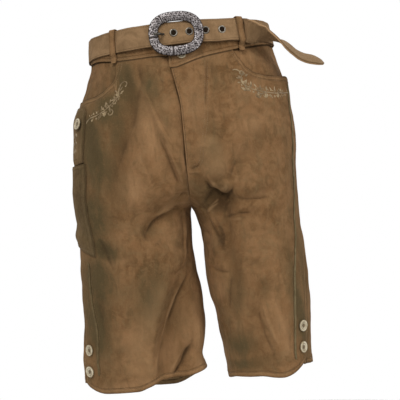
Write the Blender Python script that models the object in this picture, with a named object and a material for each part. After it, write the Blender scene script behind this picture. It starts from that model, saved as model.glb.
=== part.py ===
"""Knee-length suede lederhosen, worn: the hollow garment as it hangs on a wearer, with its belt.

Metres, +Z up, +X towards the wearer's left, the wearer faces -Y. The origin is the middle of the waist
opening. Every cut piece is a wall of its real thickness. The legs, the waist and all that lies on them
are read from one surface, the skin: the cloth's outer face, worked out from the section tables below.
"""

import math
from collections import namedtuple

import bmesh
import bpy
import numpy as np

# ---------------------------------------------------------------- sizes of the cloth and its trimmings

SUEDE = 0.0020  # thickness of the garment's leather
GAP = 0.0003  # between pieces that meet at a seam
WAIST_GAP = 0.0009  # between the waistband and the panels
HALF_GAP = 0.00025  # each leg stays this far from the centre seam's plane
TUCK = 0.0032  # how far a lapped edge lies under the piece on top of it
LAP = 0.008  # width of cloth hidden under a lapped edge
TUCK_RUN = 0.014  # distance over which a lapped edge sinks
CENTRE_X = -0.008  # the plane of the centre seams
FORK_Z = -0.325  # where the centre seams and the inseams meet

FLY_END_Z = -0.250  # below it the centre front is a plain seam
FLY_REACH = 0.013  # at the waist the left side laps this far past the centre

BAND_THICK = 0.0030  # waistband, two layers of suede
BAND_OUT = 0.0012  # its outer face stands this far out of the skin
BAND_TOP = 0.0

BELT_WIDTH = 0.040
BELT_THICK = 0.0030
BELT_Z = -0.0190  # middle of the belt's width
BELT_FLOAT = 0.0005  # clearance under each layer of belt
BELT_INNER = BAND_OUT + BELT_FLOAT  # the under face of the layer next to the waistband
BELT_OUTER = BELT_INNER + BELT_THICK + BELT_FLOAT  # the under face of the free end, on top of it
BELT_START = 0.036  # the buckle's end of the belt, past the centre
BELT_LEAVES = 0.1260  # where the free end leaves the waist, past the centre

BUTTON_RADIUS = 0.0102
BUTTON_THICK = 0.0036
LOOP_WIDTH = 0.0115
LOOP_THICK = 0.0020

# ---------------------------------------------------------------- the section tables
# One row for each height. outer and inner are the leg's two edges seen from the front; above the fork,
# inner is the far edge of the oval of which this leg's half is a part. front and back are the depths,
# side is where the side line runs, and power is the oval's fullness (2 is an ellipse).

Section = namedtuple("Section", "z outer inner front back side power")

SECTIONS = {
    "right": [
        Section(0.020, -0.1620, 0.1460, -0.1220, 0.1160, 0.000, 2.15),
        Section(0.000, -0.1645, 0.1485, -0.1240, 0.1190, 0.000, 2.15),
        Section(-0.050, -0.1705, 0.1545, -0.1270, 0.1260, 0.000, 2.15),
        Section(-0.080, -0.1805, 0.1645, -0.1320, 0.1330, 0.000, 2.20),
        Section(-0.110, -0.1920, 0.1760, -0.1355, 0.1390, 0.000, 2.25),
        Section(-0.150, -0.2060, 0.1850, -0.1375, 0.1450, 0.000, 2.30),
        Section(-0.200, -0.2120, 0.1450, -0.1370, 0.1480, 0.000, 2.30),
        Section(-0.250, -0.2160, 0.0880, -0.1310, 0.1440, 0.000, 2.30),
        Section(-0.290, -0.2190, 0.0360, -0.1230, 0.1340, 0.001, 2.30),
        Section(-0.315, -0.2200, 0.0030, -0.1150, 0.1240, 0.002, 2.25),
        Section(-0.325, -0.2210, -0.0085, -0.1110, 0.1190, 0.002, 2.20),
        Section(-0.340, -0.2220, -0.0110, -0.1060, 0.1120, 0.003, 2.15),
        Section(-0.370, -0.2235, -0.0120, -0.0990, 0.1010, 0.004, 2.10),
        Section(-0.400, -0.2260, -0.0130, -0.0930, 0.0930, 0.004, 2.10),
        Section(-0.440, -0.2270, -0.0100, -0.0860, 0.0830, 0.004, 2.10),
        Section(-0.480, -0.2290, -0.0040, -0.0800, 0.0750, 0.004, 2.10),
        Section(-0.520, -0.2300, -0.0030, -0.0750, 0.0680, 0.003, 2.10),
        Section(-0.560, -0.2350, -0.0060, -0.0710, 0.0620, 0.002, 2.10),
        Section(-0.595, -0.2390, -0.0140, -0.0680, 0.0580, 0.002, 2.10),
        Section(-0.625, -0.2390, -0.0080, -0.0660, 0.0570, 0.002, 2.10),
        Section(-0.665, -0.2360, -0.0020, -0.0640, 0.0560, 0.002, 2.10),
    ],
    "left": [
        Section(0.020, 0.1630, -0.1790, -0.1220, 0.1160, 0.000, 2.15),
        Section(0.000, 0.1655, -0.1815, -0.1240, 0.1190, 0.000, 2.15),
        Section(-0.050, 0.1730, -0.1890, -0.1270, 0.1260, 0.000, 2.15),
        Section(-0.080, 0.1815, -0.1975, -0.1320, 0.1330, 0.000, 2.20),
        Section(-0.113, 0.1885, -0.2040, -0.1360, 0.1400, 0.000, 2.25),
        Section(-0.150, 0.1955, -0.1965, -0.1380, 0.1450, 0.000, 2.30),
        Section(-0.200, 0.1985, -0.1600, -0.1375, 0.1480, 0.000, 2.30),
        Section(-0.250, 0.1950, -0.1040, -0.1325, 0.1440, 0.000, 2.30),
        Section(-0.290, 0.1920, -0.0500, -0.1260, 0.1350, 0.000, 2.30),
        Section(-0.315, 0.1915, -0.0165, -0.1200, 0.1270, 0.000, 2.25),
        Section(-0.325, 0.1915, -0.0075, -0.1180, 0.1240, 0.000, 2.20),
        Section(-0.340, 0.1915, -0.0010, -0.1150, 0.1190, 0.000, 2.15),
        Section(-0.370, 0.1920, 0.0060, -0.1110, 0.1120, 0.000, 2.10),
        Section(-0.400, 0.1945, 0.0065, -0.1080, 0.1070, 0.000, 2.10),
        Section(-0.440, 0.1960, 0.0060, -0.1050, 0.1020, 0.000, 2.10),
        Section(-0.480, 0.1965, 0.0095, -0.1020, 0.0980, 0.000, 2.10),
        Section(-0.520, 0.1955, 0.0180, -0.0990, 0.0950, 0.000, 2.10),
        Section(-0.560, 0.1925, 0.0210, -0.0965, 0.0925, 0.000, 2.10),
        Section(-0.595, 0.1900, 0.0255, -0.0945, 0.0905, 0.000, 2.10),
        Section(-0.625, 0.1885, 0.0290, -0.0935, 0.0895, 0.000, 2.10),
        Section(-0.665, 0.1870, 0.0320, -0.0930, 0.0890, 0.000, 2.10),
    ],
}

# The piping on the outseam, as a distance along the cloth in front of the side line. The front panel's
# outer edge, the lap, runs behind it.
Seam = namedtuple("Seam", "z piping")
PIPING_TO_LAP = 0.040
OUTSEAM = {
    "right": [Seam(0.02, 0.044), Seam(-0.11, 0.050), Seam(-0.20, 0.060), Seam(-0.30, 0.068),
              Seam(-0.39, 0.068), Seam(-0.46, 0.061), Seam(-0.56, 0.065), Seam(-0.66, 0.062)],
    "left": [Seam(0.02, 0.036), Seam(-0.11, 0.041), Seam(-0.17, 0.054), Seam(-0.24, 0.063),
             Seam(-0.33, 0.067), Seam(-0.38, 0.073), Seam(-0.43, 0.084), Seam(-0.51, 0.093),
             Seam(-0.66, 0.095)],
}

# Edges that aren't level. across runs from 0 at the side line to 1 at the centre front, or to -1 at the
# centre back.
Edge = namedtuple("Edge", "across z")
WAIST_SEAM = {
    "right": [Edge(-1.0, -0.052), Edge(-0.5, -0.047), Edge(0.0, -0.042), Edge(0.3, -0.045),
              Edge(0.55, -0.0525), Edge(0.8, -0.0535), Edge(1.0, -0.0565)],
    "left": [Edge(-1.0, -0.052), Edge(-0.5, -0.045), Edge(0.0, -0.038), Edge(0.14, -0.039),
             Edge(0.43, -0.047), Edge(0.58, -0.053), Edge(0.80, -0.062), Edge(1.0, -0.0765)],
}
POCKET_EDGE = {
    "right": [Edge(0.0, -0.1125), Edge(0.15, -0.1120), Edge(0.31, -0.1100), Edge(0.42, -0.1050),
              Edge(0.49, -0.0940), Edge(0.53, -0.0790), Edge(0.548, -0.0540)],
    "left": [Edge(0.0, -0.1040), Edge(0.08, -0.1030), Edge(0.36, -0.1010), Edge(0.455, -0.0970),
             Edge(0.525, -0.0850), Edge(0.558, -0.0680), Edge(0.582, -0.0540)],
}
FRONT_HEM = {
    "right": [Edge(0.00, -0.647), Edge(0.45, -0.645), Edge(0.53, -0.638), Edge(0.60, -0.632),
              Edge(0.68, -0.630), Edge(0.77, -0.629), Edge(0.91, -0.623), Edge(1.0, -0.620)],
    "left": [Edge(0.00, -0.641), Edge(0.44, -0.640), Edge(0.59, -0.635), Edge(0.76, -0.636),
             Edge(0.93, -0.643), Edge(1.0, -0.640)],
}
BACK_HEM = {
    "right": [Edge(-1.0, -0.620), Edge(-0.85, -0.640), Edge(-0.65, -0.660), Edge(-0.35, -0.655),
              Edge(0.0, -0.632), Edge(0.20, -0.626)],
    "left": [Edge(-1.0, -0.640), Edge(-0.6, -0.640), Edge(0.0, -0.631), Edge(0.25, -0.626)],
}
# The front panel's lower corner is cut round at the vent: from how far along, and how high.
Vent = namedtuple("Vent", "reach rise")
VENT = {"right": Vent(0.050, 0.018), "left": Vent(0.065, 0.030)}

# The largest folds. route is in x and z as seen from the face named. height is out of the cloth, and
# down into it where negative. low and high are the fold's reach towards -X and +X.
Fold = namedtuple("Fold", "leg face height low high route")
FOLDS = [
    Fold("right", "front", -0.0070, 0.030, 0.024,
         ((-0.079, -0.060), (-0.096, -0.143), (-0.120, -0.210), (-0.131, -0.270), (-0.147, -0.350))),
    Fold("right", "front", 0.0055, 0.018, 0.014,
         ((-0.070, -0.080), (-0.056, -0.147), (-0.041, -0.192), (-0.025, -0.240), (-0.012, -0.292))),
    Fold("right", "front", -0.0065, 0.013, 0.012,
         ((-0.074, -0.120), (-0.060, -0.165), (-0.045, -0.215), (-0.030, -0.260), (-0.014, -0.300))),
    Fold("right", "front", -0.0080, 0.017, 0.013,
         ((-0.011, -0.309), (-0.038, -0.321), (-0.064, -0.336), (-0.087, -0.355), (-0.098, -0.385))),
    Fold("right", "front", 0.0050, 0.016, 0.016,
         ((-0.035, -0.345), (-0.048, -0.390), (-0.045, -0.440))),
    Fold("right", "front", 0.0110, 0.040, 0.022,
         ((-0.045, -0.440), (-0.066, -0.489), (-0.092, -0.535), (-0.108, -0.575), (-0.122, -0.650))),
    Fold("right", "front", -0.0240, 0.018, 0.028,
         ((-0.034, -0.440), (-0.052, -0.489), (-0.072, -0.535), (-0.082, -0.575), (-0.082, -0.650))),
    Fold("right", "front", -0.0110, 0.010, 0.014,
         ((-0.034, -0.572), (-0.050, -0.604), (-0.064, -0.650))),
    Fold("right", "front", 0.0060, 0.020, 0.018,
         ((-0.018, -0.520), (-0.018, -0.580), (-0.024, -0.650))),
    Fold("left", "front", 0.0110, 0.024, 0.024,
         ((0.030, -0.200), (0.036, -0.245), (0.046, -0.282))),
    Fold("left", "front", -0.0170, 0.018, 0.018,
         ((0.028, -0.292), (0.040, -0.314), (0.056, -0.322), (0.070, -0.305))),
    Fold("left", "front", -0.0060, 0.014, 0.014,
         ((0.072, -0.292), (0.080, -0.262), (0.095, -0.240), (0.120, -0.225))),
    Fold("left", "front", -0.0045, 0.012, 0.012,
         ((0.074, -0.314), (0.107, -0.318), (0.145, -0.306))),
    Fold("left", "front", -0.0055, 0.012, 0.012,
         ((0.052, -0.362), (0.078, -0.347), (0.118, -0.340))),
    Fold("left", "front", -0.0090, 0.012, 0.014,
         ((0.046, -0.322), (0.047, -0.362), (0.052, -0.415), (0.056, -0.470))),
    Fold("left", "front", 0.0050, 0.010, 0.010,
         ((0.030, -0.330), (0.032, -0.370), (0.036, -0.420))),
    Fold("left", "front", 0.0045, 0.022, 0.020,
         ((0.028, -0.070), (0.026, -0.130), (0.026, -0.190))),
    Fold("left", "front", -0.0035, 0.014, 0.016,
         ((0.052, -0.075), (0.050, -0.140), (0.056, -0.200))),
    Fold("left", "front", -0.0060, 0.026, 0.026,
         ((0.080, -0.420), (0.084, -0.500), (0.092, -0.570), (0.100, -0.650))),
    Fold("left", "front", 0.0050, 0.020, 0.020,
         ((0.112, -0.500), (0.124, -0.570), (0.130, -0.650))),
    Fold("right", "back", -0.0080, 0.022, 0.022,
         ((-0.030, -0.300), (-0.070, -0.345), (-0.120, -0.375))),
    Fold("left", "back", -0.0080, 0.022, 0.022,
         ((0.014, -0.300), (0.054, -0.345), (0.104, -0.375))),
    Fold("right", "back", -0.0060, 0.030, 0.030,
         ((-0.110, -0.400), (-0.105, -0.500), (-0.095, -0.650))),
    Fold("left", "back", -0.0060, 0.030, 0.030,
         ((0.080, -0.400), (0.092, -0.500), (0.100, -0.650))),
    Fold("right", "back", 0.0060, 0.024, 0.024,
         ((-0.050, -0.110), (-0.045, -0.180), (-0.030, -0.260))),
    Fold("left", "back", 0.0060, 0.024, 0.024,
         ((0.034, -0.110), (0.029, -0.180), (0.014, -0.260))),
]


def smooth_step(low, high, value):
    share = np.clip((np.asarray(value, float) - low) / (high - low), 0.0, 1.0)
    return share * share * (3 - 2 * share)


def curve_through(rows, key, column, where):
    """A smooth curve through one column of a table, over another column, read at where."""
    knots = sorted((getattr(row, key), getattr(row, column)) for row in rows)
    x = np.array([knot[0] for knot in knots])
    y = np.array([knot[1] for knot in knots])
    slopes = np.diff(y) / np.diff(x)
    # Monotone tangents: flat where the column turns, so that the curve never overshoots its rows.
    inner = np.where(
        slopes[:-1] * slopes[1:] > 0,
        2 * slopes[:-1] * slopes[1:] / np.where(slopes[:-1] + slopes[1:] == 0, 1, slopes[:-1] + slopes[1:]),
        0.0,
    )
    tangents = np.concatenate([[slopes[0]], inner, [slopes[-1]]])
    where = np.clip(np.asarray(where, float), x[0], x[-1])
    i = np.clip(np.searchsorted(x, where, side="right") - 1, 0, len(x) - 2)
    width = x[i + 1] - x[i]
    t = (where - x[i]) / width
    return (
        (1 + 2 * t) * (1 - t) ** 2 * y[i]
        + t * (1 - t) ** 2 * width * tangents[i]
        + t * t * (3 - 2 * t) * y[i + 1]
        + t * t * (t - 1) * width * tangents[i + 1]
    )


def fold_height(fold, x, z):
    """How far one fold moves the cloth at x, z, both arrays."""
    route = np.array(fold.route)
    lengths = np.linalg.norm(np.diff(route, axis=0), axis=1)
    before = np.concatenate([[0], np.cumsum(lengths)])
    nearest = np.full(np.shape(x), np.inf)
    height = np.zeros(np.shape(x))
    for start, end, length, run in zip(route[:-1], route[1:], lengths, before):
        along = (end - start) / length
        reach = np.clip((x - start[0]) * along[0] + (z - start[1]) * along[1], 0, length)
        off_x = x - start[0] - reach * along[0]
        off_z = z - start[1] - reach * along[1]
        away = np.hypot(off_x, off_z)
        # Towards +X of a route that runs down, or above one that runs across.
        side = off_x * -along[1] + off_z * along[0]
        width = np.where(side > 0, fold.high, fold.low)
        share = (run + reach) / before[-1]
        ends = smooth_step(-0.10, 0.25, share) * smooth_step(1.10, 0.75, share)
        here = fold.height * np.exp(-((away / width) ** 2)) * ends
        height = np.where(away < nearest, here, height)
        nearest = np.minimum(nearest, away)
    return height


class Skin:
    """The outer face of the cloth on one leg and its half of the seat, as a lattice of points.

    across is 0 on the side line, 1 at the centre front or inseam, -1 at the centre back or inseam.
    """

    TOP, BOTTOM, STEP = 0.016, -0.668, 0.003
    HALF = 110  # lattice columns on each face

    def __init__(self, leg):
        self.leg = leg
        self.heights = np.arange(self.TOP, self.BOTTOM, -self.STEP)
        self.grid = np.zeros((len(self.heights), 2 * self.HALF + 1, 3))
        self.lengths = np.zeros((len(self.heights), 2))
        columns = {
            name: curve_through(SECTIONS[leg], "z", name, self.heights) for name in Section._fields[1:]
        }
        for row, z in enumerate(self.heights):
            section = {name: column[row] for name, column in columns.items()}
            front = self.face_line(section, z, "front")
            back = self.face_line(section, z, "back")
            self.grid[row, : self.HALF + 1] = back[::-1]
            self.grid[row, self.HALF :] = front
            self.lengths[row] = [self.line_length(back), self.line_length(front)]
        self.base_normals = self.normals_of(self.grid)
        self.grid = self.grid + self.base_normals * self.folds()[..., None]
        self.normals = self.normals_of(self.grid)

    @staticmethod
    def line_length(line):
        return np.linalg.norm(np.diff(line, axis=0), axis=1).sum()

    def face_line(self, section, z, face):
        """Points from the side line to the centre edge, evenly spaced along the cloth."""
        middle = (section["outer"] + section["inner"]) / 2
        half_width = abs(section["outer"] - section["inner"]) / 2
        side = section["side"]
        depth = section[face] - side
        towards = 1 if self.leg == "left" else -1
        plane = CENTRE_X + towards * HALF_GAP
        reach = np.clip((middle - plane) * towards / half_width, -1, 1)
        turn = math.pi
        if z >= FORK_Z:
            turn = math.acos(-math.copysign(abs(reach) ** (section["power"] / 2), reach))
        angle = np.linspace(0, turn, 400)
        squash = 2 / section["power"]
        cosine = np.cos(angle)
        x = middle + towards * half_width * np.sign(cosine) * np.abs(cosine) ** squash
        y = side + depth * np.abs(np.sin(angle)) ** squash
        run = np.concatenate([[0], np.cumsum(np.hypot(np.diff(x), np.diff(y)))])
        even = np.linspace(0, run[-1], self.HALF + 1)
        return np.stack([np.interp(even, run, x), np.interp(even, run, y), np.full(len(even), z)], axis=1)

    def normals_of(self, grid):
        around = np.gradient(grid, axis=1)
        down = np.gradient(grid, axis=0)
        normal = np.cross(down, around)
        if self.leg == "left":
            normal = -normal
        normal /= np.maximum(np.linalg.norm(normal, axis=2, keepdims=True), 1e-12)
        outward = 1 if self.leg == "left" else -1
        middle_row = normal[:, self.HALF, 0] * outward
        return normal if middle_row.mean() > 0 else -normal

    def folds(self):
        x, z = self.grid[..., 0], self.grid[..., 2]
        height = np.zeros(x.shape)
        for fold in FOLDS:
            if fold.leg != self.leg:
                continue
            facing = -self.base_normals[..., 1] if fold.face == "front" else self.base_normals[..., 1]
            height += fold_height(fold, x, z) * smooth_step(0.05, 0.55, facing)
        return height

    def length(self, z, face):
        """Length of the cloth from the side line to the centre edge at height z."""
        column = self.lengths[:, 1 if face == "front" else 0]
        return np.interp(-np.asarray(z, float), -self.heights, column)

    def across(self, distance, z):
        """across for a distance along the cloth in front of the side line, or behind it if negative."""
        distance = np.asarray(distance, float)
        return np.where(
            distance >= 0, distance / self.length(z, "front"), distance / self.length(z, "back")
        )

    def at(self, across, z, out=0.0):
        """Points out of the cloth by that distance, and the normals there."""
        across, z, out = np.broadcast_arrays(
            np.asarray(across, float), np.asarray(z, float), np.asarray(out, float)
        )
        row = np.clip((self.TOP - z) / self.STEP, 0, len(self.heights) - 1.001)
        column = np.clip((across + 1) * self.HALF, 0, 2 * self.HALF - 0.001)
        i, j = row.astype(int), column.astype(int)
        f, g = (row - i)[..., None], (column - j)[..., None]

        def read(lattice):
            return (
                lattice[i, j] * (1 - f) * (1 - g)
                + lattice[i + 1, j] * f * (1 - g)
                + lattice[i, j + 1] * (1 - f) * g
                + lattice[i + 1, j + 1] * f * g
            )

        normal = read(self.normals)
        normal /= np.linalg.norm(normal, axis=-1, keepdims=True)
        return read(self.grid) + normal * out[..., None], normal


# ---------------------------------------------------------------- making solids

COLOURS = {
    "suede": (0.23, 0.145, 0.072, 0.9, 0.0),
    "belt_suede": (0.26, 0.16, 0.08, 0.85, 0.0),
    "piping": (0.17, 0.14, 0.07, 0.9, 0.0),
    "horn": (0.72, 0.65, 0.5, 0.35, 0.0),
    "silver": (0.45, 0.44, 0.42, 0.35, 1.0),
    "nickel": (0.5, 0.5, 0.5, 0.3, 1.0),
}


def material(name):
    found = bpy.data.materials.get(name)
    if found:
        return found
    made = bpy.data.materials.new(name)
    made.use_nodes = True
    shader = made.node_tree.nodes["Principled BSDF"]
    red, green, blue, roughness, metallic = COLOURS[name]
    shader.inputs["Base Color"].default_value = (red, green, blue, 1)
    shader.inputs["Roughness"].default_value = roughness
    shader.inputs["Metallic"].default_value = metallic
    made.diffuse_color = (red, green, blue, 1)
    return made


def add_object(name, points, faces, finish, sharp=40):
    mesh = bpy.data.meshes.new(name)
    mesh.from_pydata([tuple(point) for point in points], [], faces)
    made = bmesh.new()
    made.from_mesh(mesh)
    bmesh.ops.recalc_face_normals(made, faces=made.faces)
    made.to_mesh(mesh)
    made.free()
    mesh.shade_smooth()
    mesh.set_sharp_from_angle(angle=math.radians(sharp))
    mesh.materials.append(material(finish))
    placed = bpy.data.objects.new(name, mesh)
    bpy.context.scene.collection.objects.link(placed)
    return placed


def wall(name, outer, inner, finish, sharp=40):
    """A closed wall between two grids of points of the same size."""
    rows, columns = outer.shape[:2]
    points = np.concatenate([outer.reshape(-1, 3), inner.reshape(-1, 3)])
    behind = rows * columns

    faces = []
    for i in range(rows - 1):
        for j in range(columns - 1):
            corner = i * columns + j
            quad = (corner, corner + 1, corner + columns + 1, corner + columns)
            faces.append(quad)
            faces.append(tuple(behind + k for k in reversed(quad)))
    rim = [i * columns for i in range(rows)]
    rim += [(rows - 1) * columns + j for j in range(1, columns)]
    rim += [i * columns + columns - 1 for i in range(rows - 2, -1, -1)]
    rim += list(range(columns - 2, 0, -1))
    for a, b in zip(rim, rim[1:] + rim[:1]):
        faces.append((a, b, b + behind, a + behind))
    return add_object(name, points, faces, finish, sharp)


# ---------------------------------------------------------------- the panels

FRONT_COLUMNS, BACK_COLUMNS = 18, 12
ROWS_ABOVE, ROWS_BELOW = 18, 15
POCKET_STANDS = {"right": 0.0020, "left": 0.0070}  # how far the pocket's mouth stands off at the outseam


def outseam(skin, z):
    """Distance in front of the side line of the front panel's outer edge."""
    return curve_through(OUTSEAM[skin.leg], "z", "piping", z) - PIPING_TO_LAP


def fly_reach(z):
    """How far past the centre the left side's edge lies: most at the waist, none below."""
    return FLY_REACH * smooth_step(-0.155, -0.050, z)


def panel_rows(top, hem):
    """Heights for a panel's grid: from its top edge to the fork, closer together there, then to the hem."""
    down = 1 - (1 - np.arange(ROWS_ABOVE + 1) / ROWS_ABOVE) ** 1.15
    over = top[None, :] + (FORK_Z - top)[None, :] * down[:, None]
    legs = np.arange(1, ROWS_BELOW + 1)[:, None] / ROWS_BELOW
    return np.concatenate([over, FORK_Z + (hem - FORK_Z)[None, :] * legs])


def vent_corner(leg, from_edge):
    """How much higher the hem is near the vent, where the corner is cut round."""
    return VENT[leg].rise * np.clip(1 - from_edge / VENT[leg].reach, 0, 1) ** 1.6


def stands_off(skin, distance, z):
    """How far the front panel stands out of the skin below the pocket's mouth, near the outseam."""
    mouth = curve_through(POCKET_EDGE[skin.leg], "across", "z", skin.across(distance, z))
    near = smooth_step(0.085, 0.030, distance - outseam(skin, z))
    return POCKET_STANDS[skin.leg] * near * smooth_step(0.055, 0.0, mouth - z)


def past_centre(skin, other, beyond, z, out):
    """Points at a distance past the centre front, on the other leg's skin where beyond is above zero."""
    own, _ = skin.at(np.minimum(1 + beyond / skin.length(z, "front"), 1), z, out)
    far, _ = other.at(np.minimum(1 - beyond / other.length(z, "front"), 1), z, out)
    return np.where((beyond > 0)[..., None], far, own)


def make_front(skin, other):
    """From the centre front and inseam to the outseam, cut away along the pocket's edge."""
    leg = skin.leg
    under_fly = leg == "right"
    z = np.full((ROWS_ABOVE + ROWS_BELOW + 1, FRONT_COLUMNS + 1), -0.2)
    # Where an edge lies depends on the height, and the height on how far across: settle both.
    for _ in range(5):
        length = skin.length(z, "front")
        lap = LAP * smooth_step(FLY_END_Z, FLY_END_Z + 0.030, z)
        reach = fly_reach(z)
        if under_fly:
            starts = [GAP / 2 - lap, reach + 0.002, reach + TUCK_RUN]
        else:
            starts = [GAP / 2 - reach]
        starts = [np.broadcast_to(start, z.shape) for start in starts]
        edge = length - outseam(skin, z)
        rest = np.linspace(0, 1, FRONT_COLUMNS + 2 - len(starts))
        run = np.stack([start[:, 0] for start in starts[:-1]], axis=1) if starts[:-1] else z[:, :0]
        run = np.concatenate([run, starts[-1][:, -1:] + (edge[:, -1:] - starts[-1][:, -1:]) * rest], axis=1)
        across = 1 - run / length
        top = curve_through(WAIST_SEAM[leg], "across", "z", across[0]) - WAIST_GAP
        mouth = curve_through(POCKET_EDGE[leg], "across", "z", across[0])
        top = np.where(across[0] < POCKET_EDGE[leg][-1].across, np.minimum(top, mouth), top)
        hem = curve_through(FRONT_HEM[leg], "across", "z", across[-1])
        hem = hem + vent_corner(leg, edge[-1] - run[-1])
        z = panel_rows(top, hem)
    out = stands_off(skin, length - run, z)
    if under_fly:
        fly = smooth_step(FLY_END_Z - 0.050, FLY_END_Z - 0.012, z)
        out = out - TUCK * fly * (1 - smooth_step(reach + 0.002, reach + TUCK_RUN, run))
    outer = past_centre(skin, other, -run, z, out)
    inner = past_centre(skin, other, -run, z, out - SUEDE)
    return wall("front_" + leg, outer, inner, "suede")


def make_back(skin):
    """From the outseam, where it lies under the front, to the centre back and inseam."""
    z = np.full((ROWS_ABOVE + ROWS_BELOW + 1, BACK_COLUMNS + 1), -0.2)
    for _ in range(5):
        edge = outseam(skin, z)
        end = GAP / 2 - skin.length(z, "back")
        rest = np.linspace(0, 1, BACK_COLUMNS - 1)
        lapped = [edge[:, :1] + LAP, edge[:, :1]]
        away = edge[:, :1] - TUCK_RUN
        distance = np.concatenate([*lapped, away + (end[:, -1:] - away) * rest], axis=1)
        across = skin.across(distance, z)
        top = curve_through(WAIST_SEAM[skin.leg], "across", "z", across[0]) - WAIST_GAP
        hem = curve_through(BACK_HEM[skin.leg], "across", "z", across[-1])
        z = panel_rows(top, hem)
    tucked = TUCK * smooth_step(edge[:, :1] - TUCK_RUN, edge[:, :1], distance)
    outer, _ = skin.at(across, z, -tucked)
    inner, _ = skin.at(across, z, -tucked - SUEDE)
    return wall("back_" + skin.leg, outer, inner, "suede")


def make_facing(skin):
    """The piece behind the pocket's mouth, from the outseam to well under the front panel."""
    edge = outseam(skin, np.array(-0.08))
    far = 0.60 * skin.length(-0.06, "front")
    distance = np.concatenate([edge + np.array([0, 0.011, 0.021, 0.030, 0.040]),
                               np.linspace(edge + 0.050, far, 9)])
    level = skin.across(distance, -0.08)
    sunk = TUCK * smooth_step(edge + 0.010, edge + 0.021, distance)
    hidden = LAP * 1.3 * smooth_step(edge + 0.022, edge + 0.040, distance)
    top = curve_through(WAIST_SEAM[skin.leg], "across", "z", level) - WAIST_GAP
    mouth = curve_through(POCKET_EDGE[skin.leg], "across", "z", level)
    low = np.minimum(mouth + GAP - hidden, top - 0.012)
    z = top + (low - top) * np.linspace(0, 1, 7)[:, None]
    across = np.broadcast_to(level, z.shape)
    outer, _ = skin.at(across, z, -sunk)
    inner, _ = skin.at(across, z, -sunk - SUEDE)
    return wall("pocket_facing_" + skin.leg, outer, inner, "suede")


def make_waistband(skin, other):
    """From the centre back to the fly, where the left band laps over the right one."""
    leg = skin.leg
    reach = float(fly_reach(np.array(-0.03)))
    length = float(skin.length(-0.03, "front"))
    back = float(skin.length(-0.03, "back"))
    if leg == "left":
        run = np.linspace(-reach, length + back - GAP / 2, 27)
        sunk = np.zeros(len(run))
    else:
        run = np.concatenate([[GAP / 2, reach + 0.001, reach + TUCK_RUN],
                              np.linspace(reach + 0.034, length + back - GAP / 2, 23)])
        sunk = (BAND_THICK + 0.0008) * (1 - smooth_step(reach, reach + TUCK_RUN, run))
    level = np.clip(skin.across(length - run, -0.03), -1, 1)
    low = curve_through(WAIST_SEAM[leg], "across", "z", level)
    z = BAND_TOP + (low - BAND_TOP) * np.linspace(0, 1, 4)[:, None]
    along = np.broadcast_to(run, z.shape)
    out = np.broadcast_to(BAND_OUT - sunk, z.shape)
    outer = band_points(skin, other, along, z, out)
    inner = band_points(skin, other, along, z, out - BAND_THICK)
    return wall("waistband_" + leg, outer, inner, "suede")


def band_points(skin, other, run, z, out):
    """Points at a distance round the waist from the centre front, negative past it."""
    length = skin.length(z, "front")
    own, _ = skin.at(np.clip(skin.across(length - run, z), -1, 1), z, out)
    far, _ = other.at(1 + np.minimum(run, 0) / other.length(z, "front"), z, out)
    return np.where((run < 0)[..., None], far, own)


# ---------------------------------------------------------------- what lies on the panels

def pad(name, skin, distance, z, lift, thick, finish):
    """A piece lying on the cloth: lift is the height of its under face over the skin at each point."""
    across = skin.across(distance, z)
    lift = lift + stands_off(skin, distance, z)
    outer, _ = skin.at(across, z, lift + thick)
    inner, _ = skin.at(across, z, lift)
    return wall(name, outer, inner, finish)


KNIFE_POCKET_WIDTH = (0.002, 0.090)  # in front of the side line
KNIFE_POCKET_TOP, KNIFE_POCKET_FRONT_LOW, KNIFE_POCKET_BACK_LOW = -0.229, -0.394, -0.366
FLAP_WIDTH = (0.008, 0.083)
FLAP_TOP = -0.124
ON_SKIN = 0.0008  # a pad's lift, for cloth that is faceted


def make_knife_pocket(skin):
    u = np.linspace(0, 1, 8)[None, :]
    v = np.linspace(0, 1, 12)[:, None]
    distance = KNIFE_POCKET_WIDTH[0] + (KNIFE_POCKET_WIDTH[1] - KNIFE_POCKET_WIDTH[0]) * u + 0 * v
    low = KNIFE_POCKET_BACK_LOW + (KNIFE_POCKET_FRONT_LOW - KNIFE_POCKET_BACK_LOW) * u
    top = KNIFE_POCKET_TOP + 0.006 * (u - 0.5)
    z = top + (low - top) * v
    ridge = np.sin(math.pi * u) ** 0.7
    full = 0.0040 * (1 - smooth_step(0.40, 0.72, v)) + 0.0012 + 0.0045 * np.exp(-(((v - 0.86) / 0.07) ** 2))
    closed = 1 - smooth_step(0.93, 1.0, v)
    pad("knife_pocket", skin, distance, z, ON_SKIN + ridge * full * closed, SUEDE, "suede")


def make_flap(skin):
    u = np.linspace(0, 1, 7)[None, :]
    v = np.linspace(0, 1, 9)[:, None]
    pointed = 0.5 + (u - 0.5) * (1 - 0.32 * (1 - smooth_step(0.0, 0.12, v)))
    distance = FLAP_WIDTH[0] + (FLAP_WIDTH[1] - FLAP_WIDTH[0]) * pointed
    low = KNIFE_POCKET_TOP + 0.006 * (u - 0.5) + 0.0020
    z = FLAP_TOP + (low - FLAP_TOP) * v
    ridge = np.sin(math.pi * u) ** 0.7
    full = 0.0032 * smooth_step(-0.05, 0.25, v) * (1 - 0.6 * smooth_step(0.88, 1.0, v))
    pad("knife_pocket_flap", skin, distance, z, ON_SKIN + ridge * full, SUEDE, "suede")


PIPING_RADIUS = 0.0013
PIPING_ENDS = {"right": (-0.404, -0.612), "left": (-0.116, -0.612)}


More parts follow.
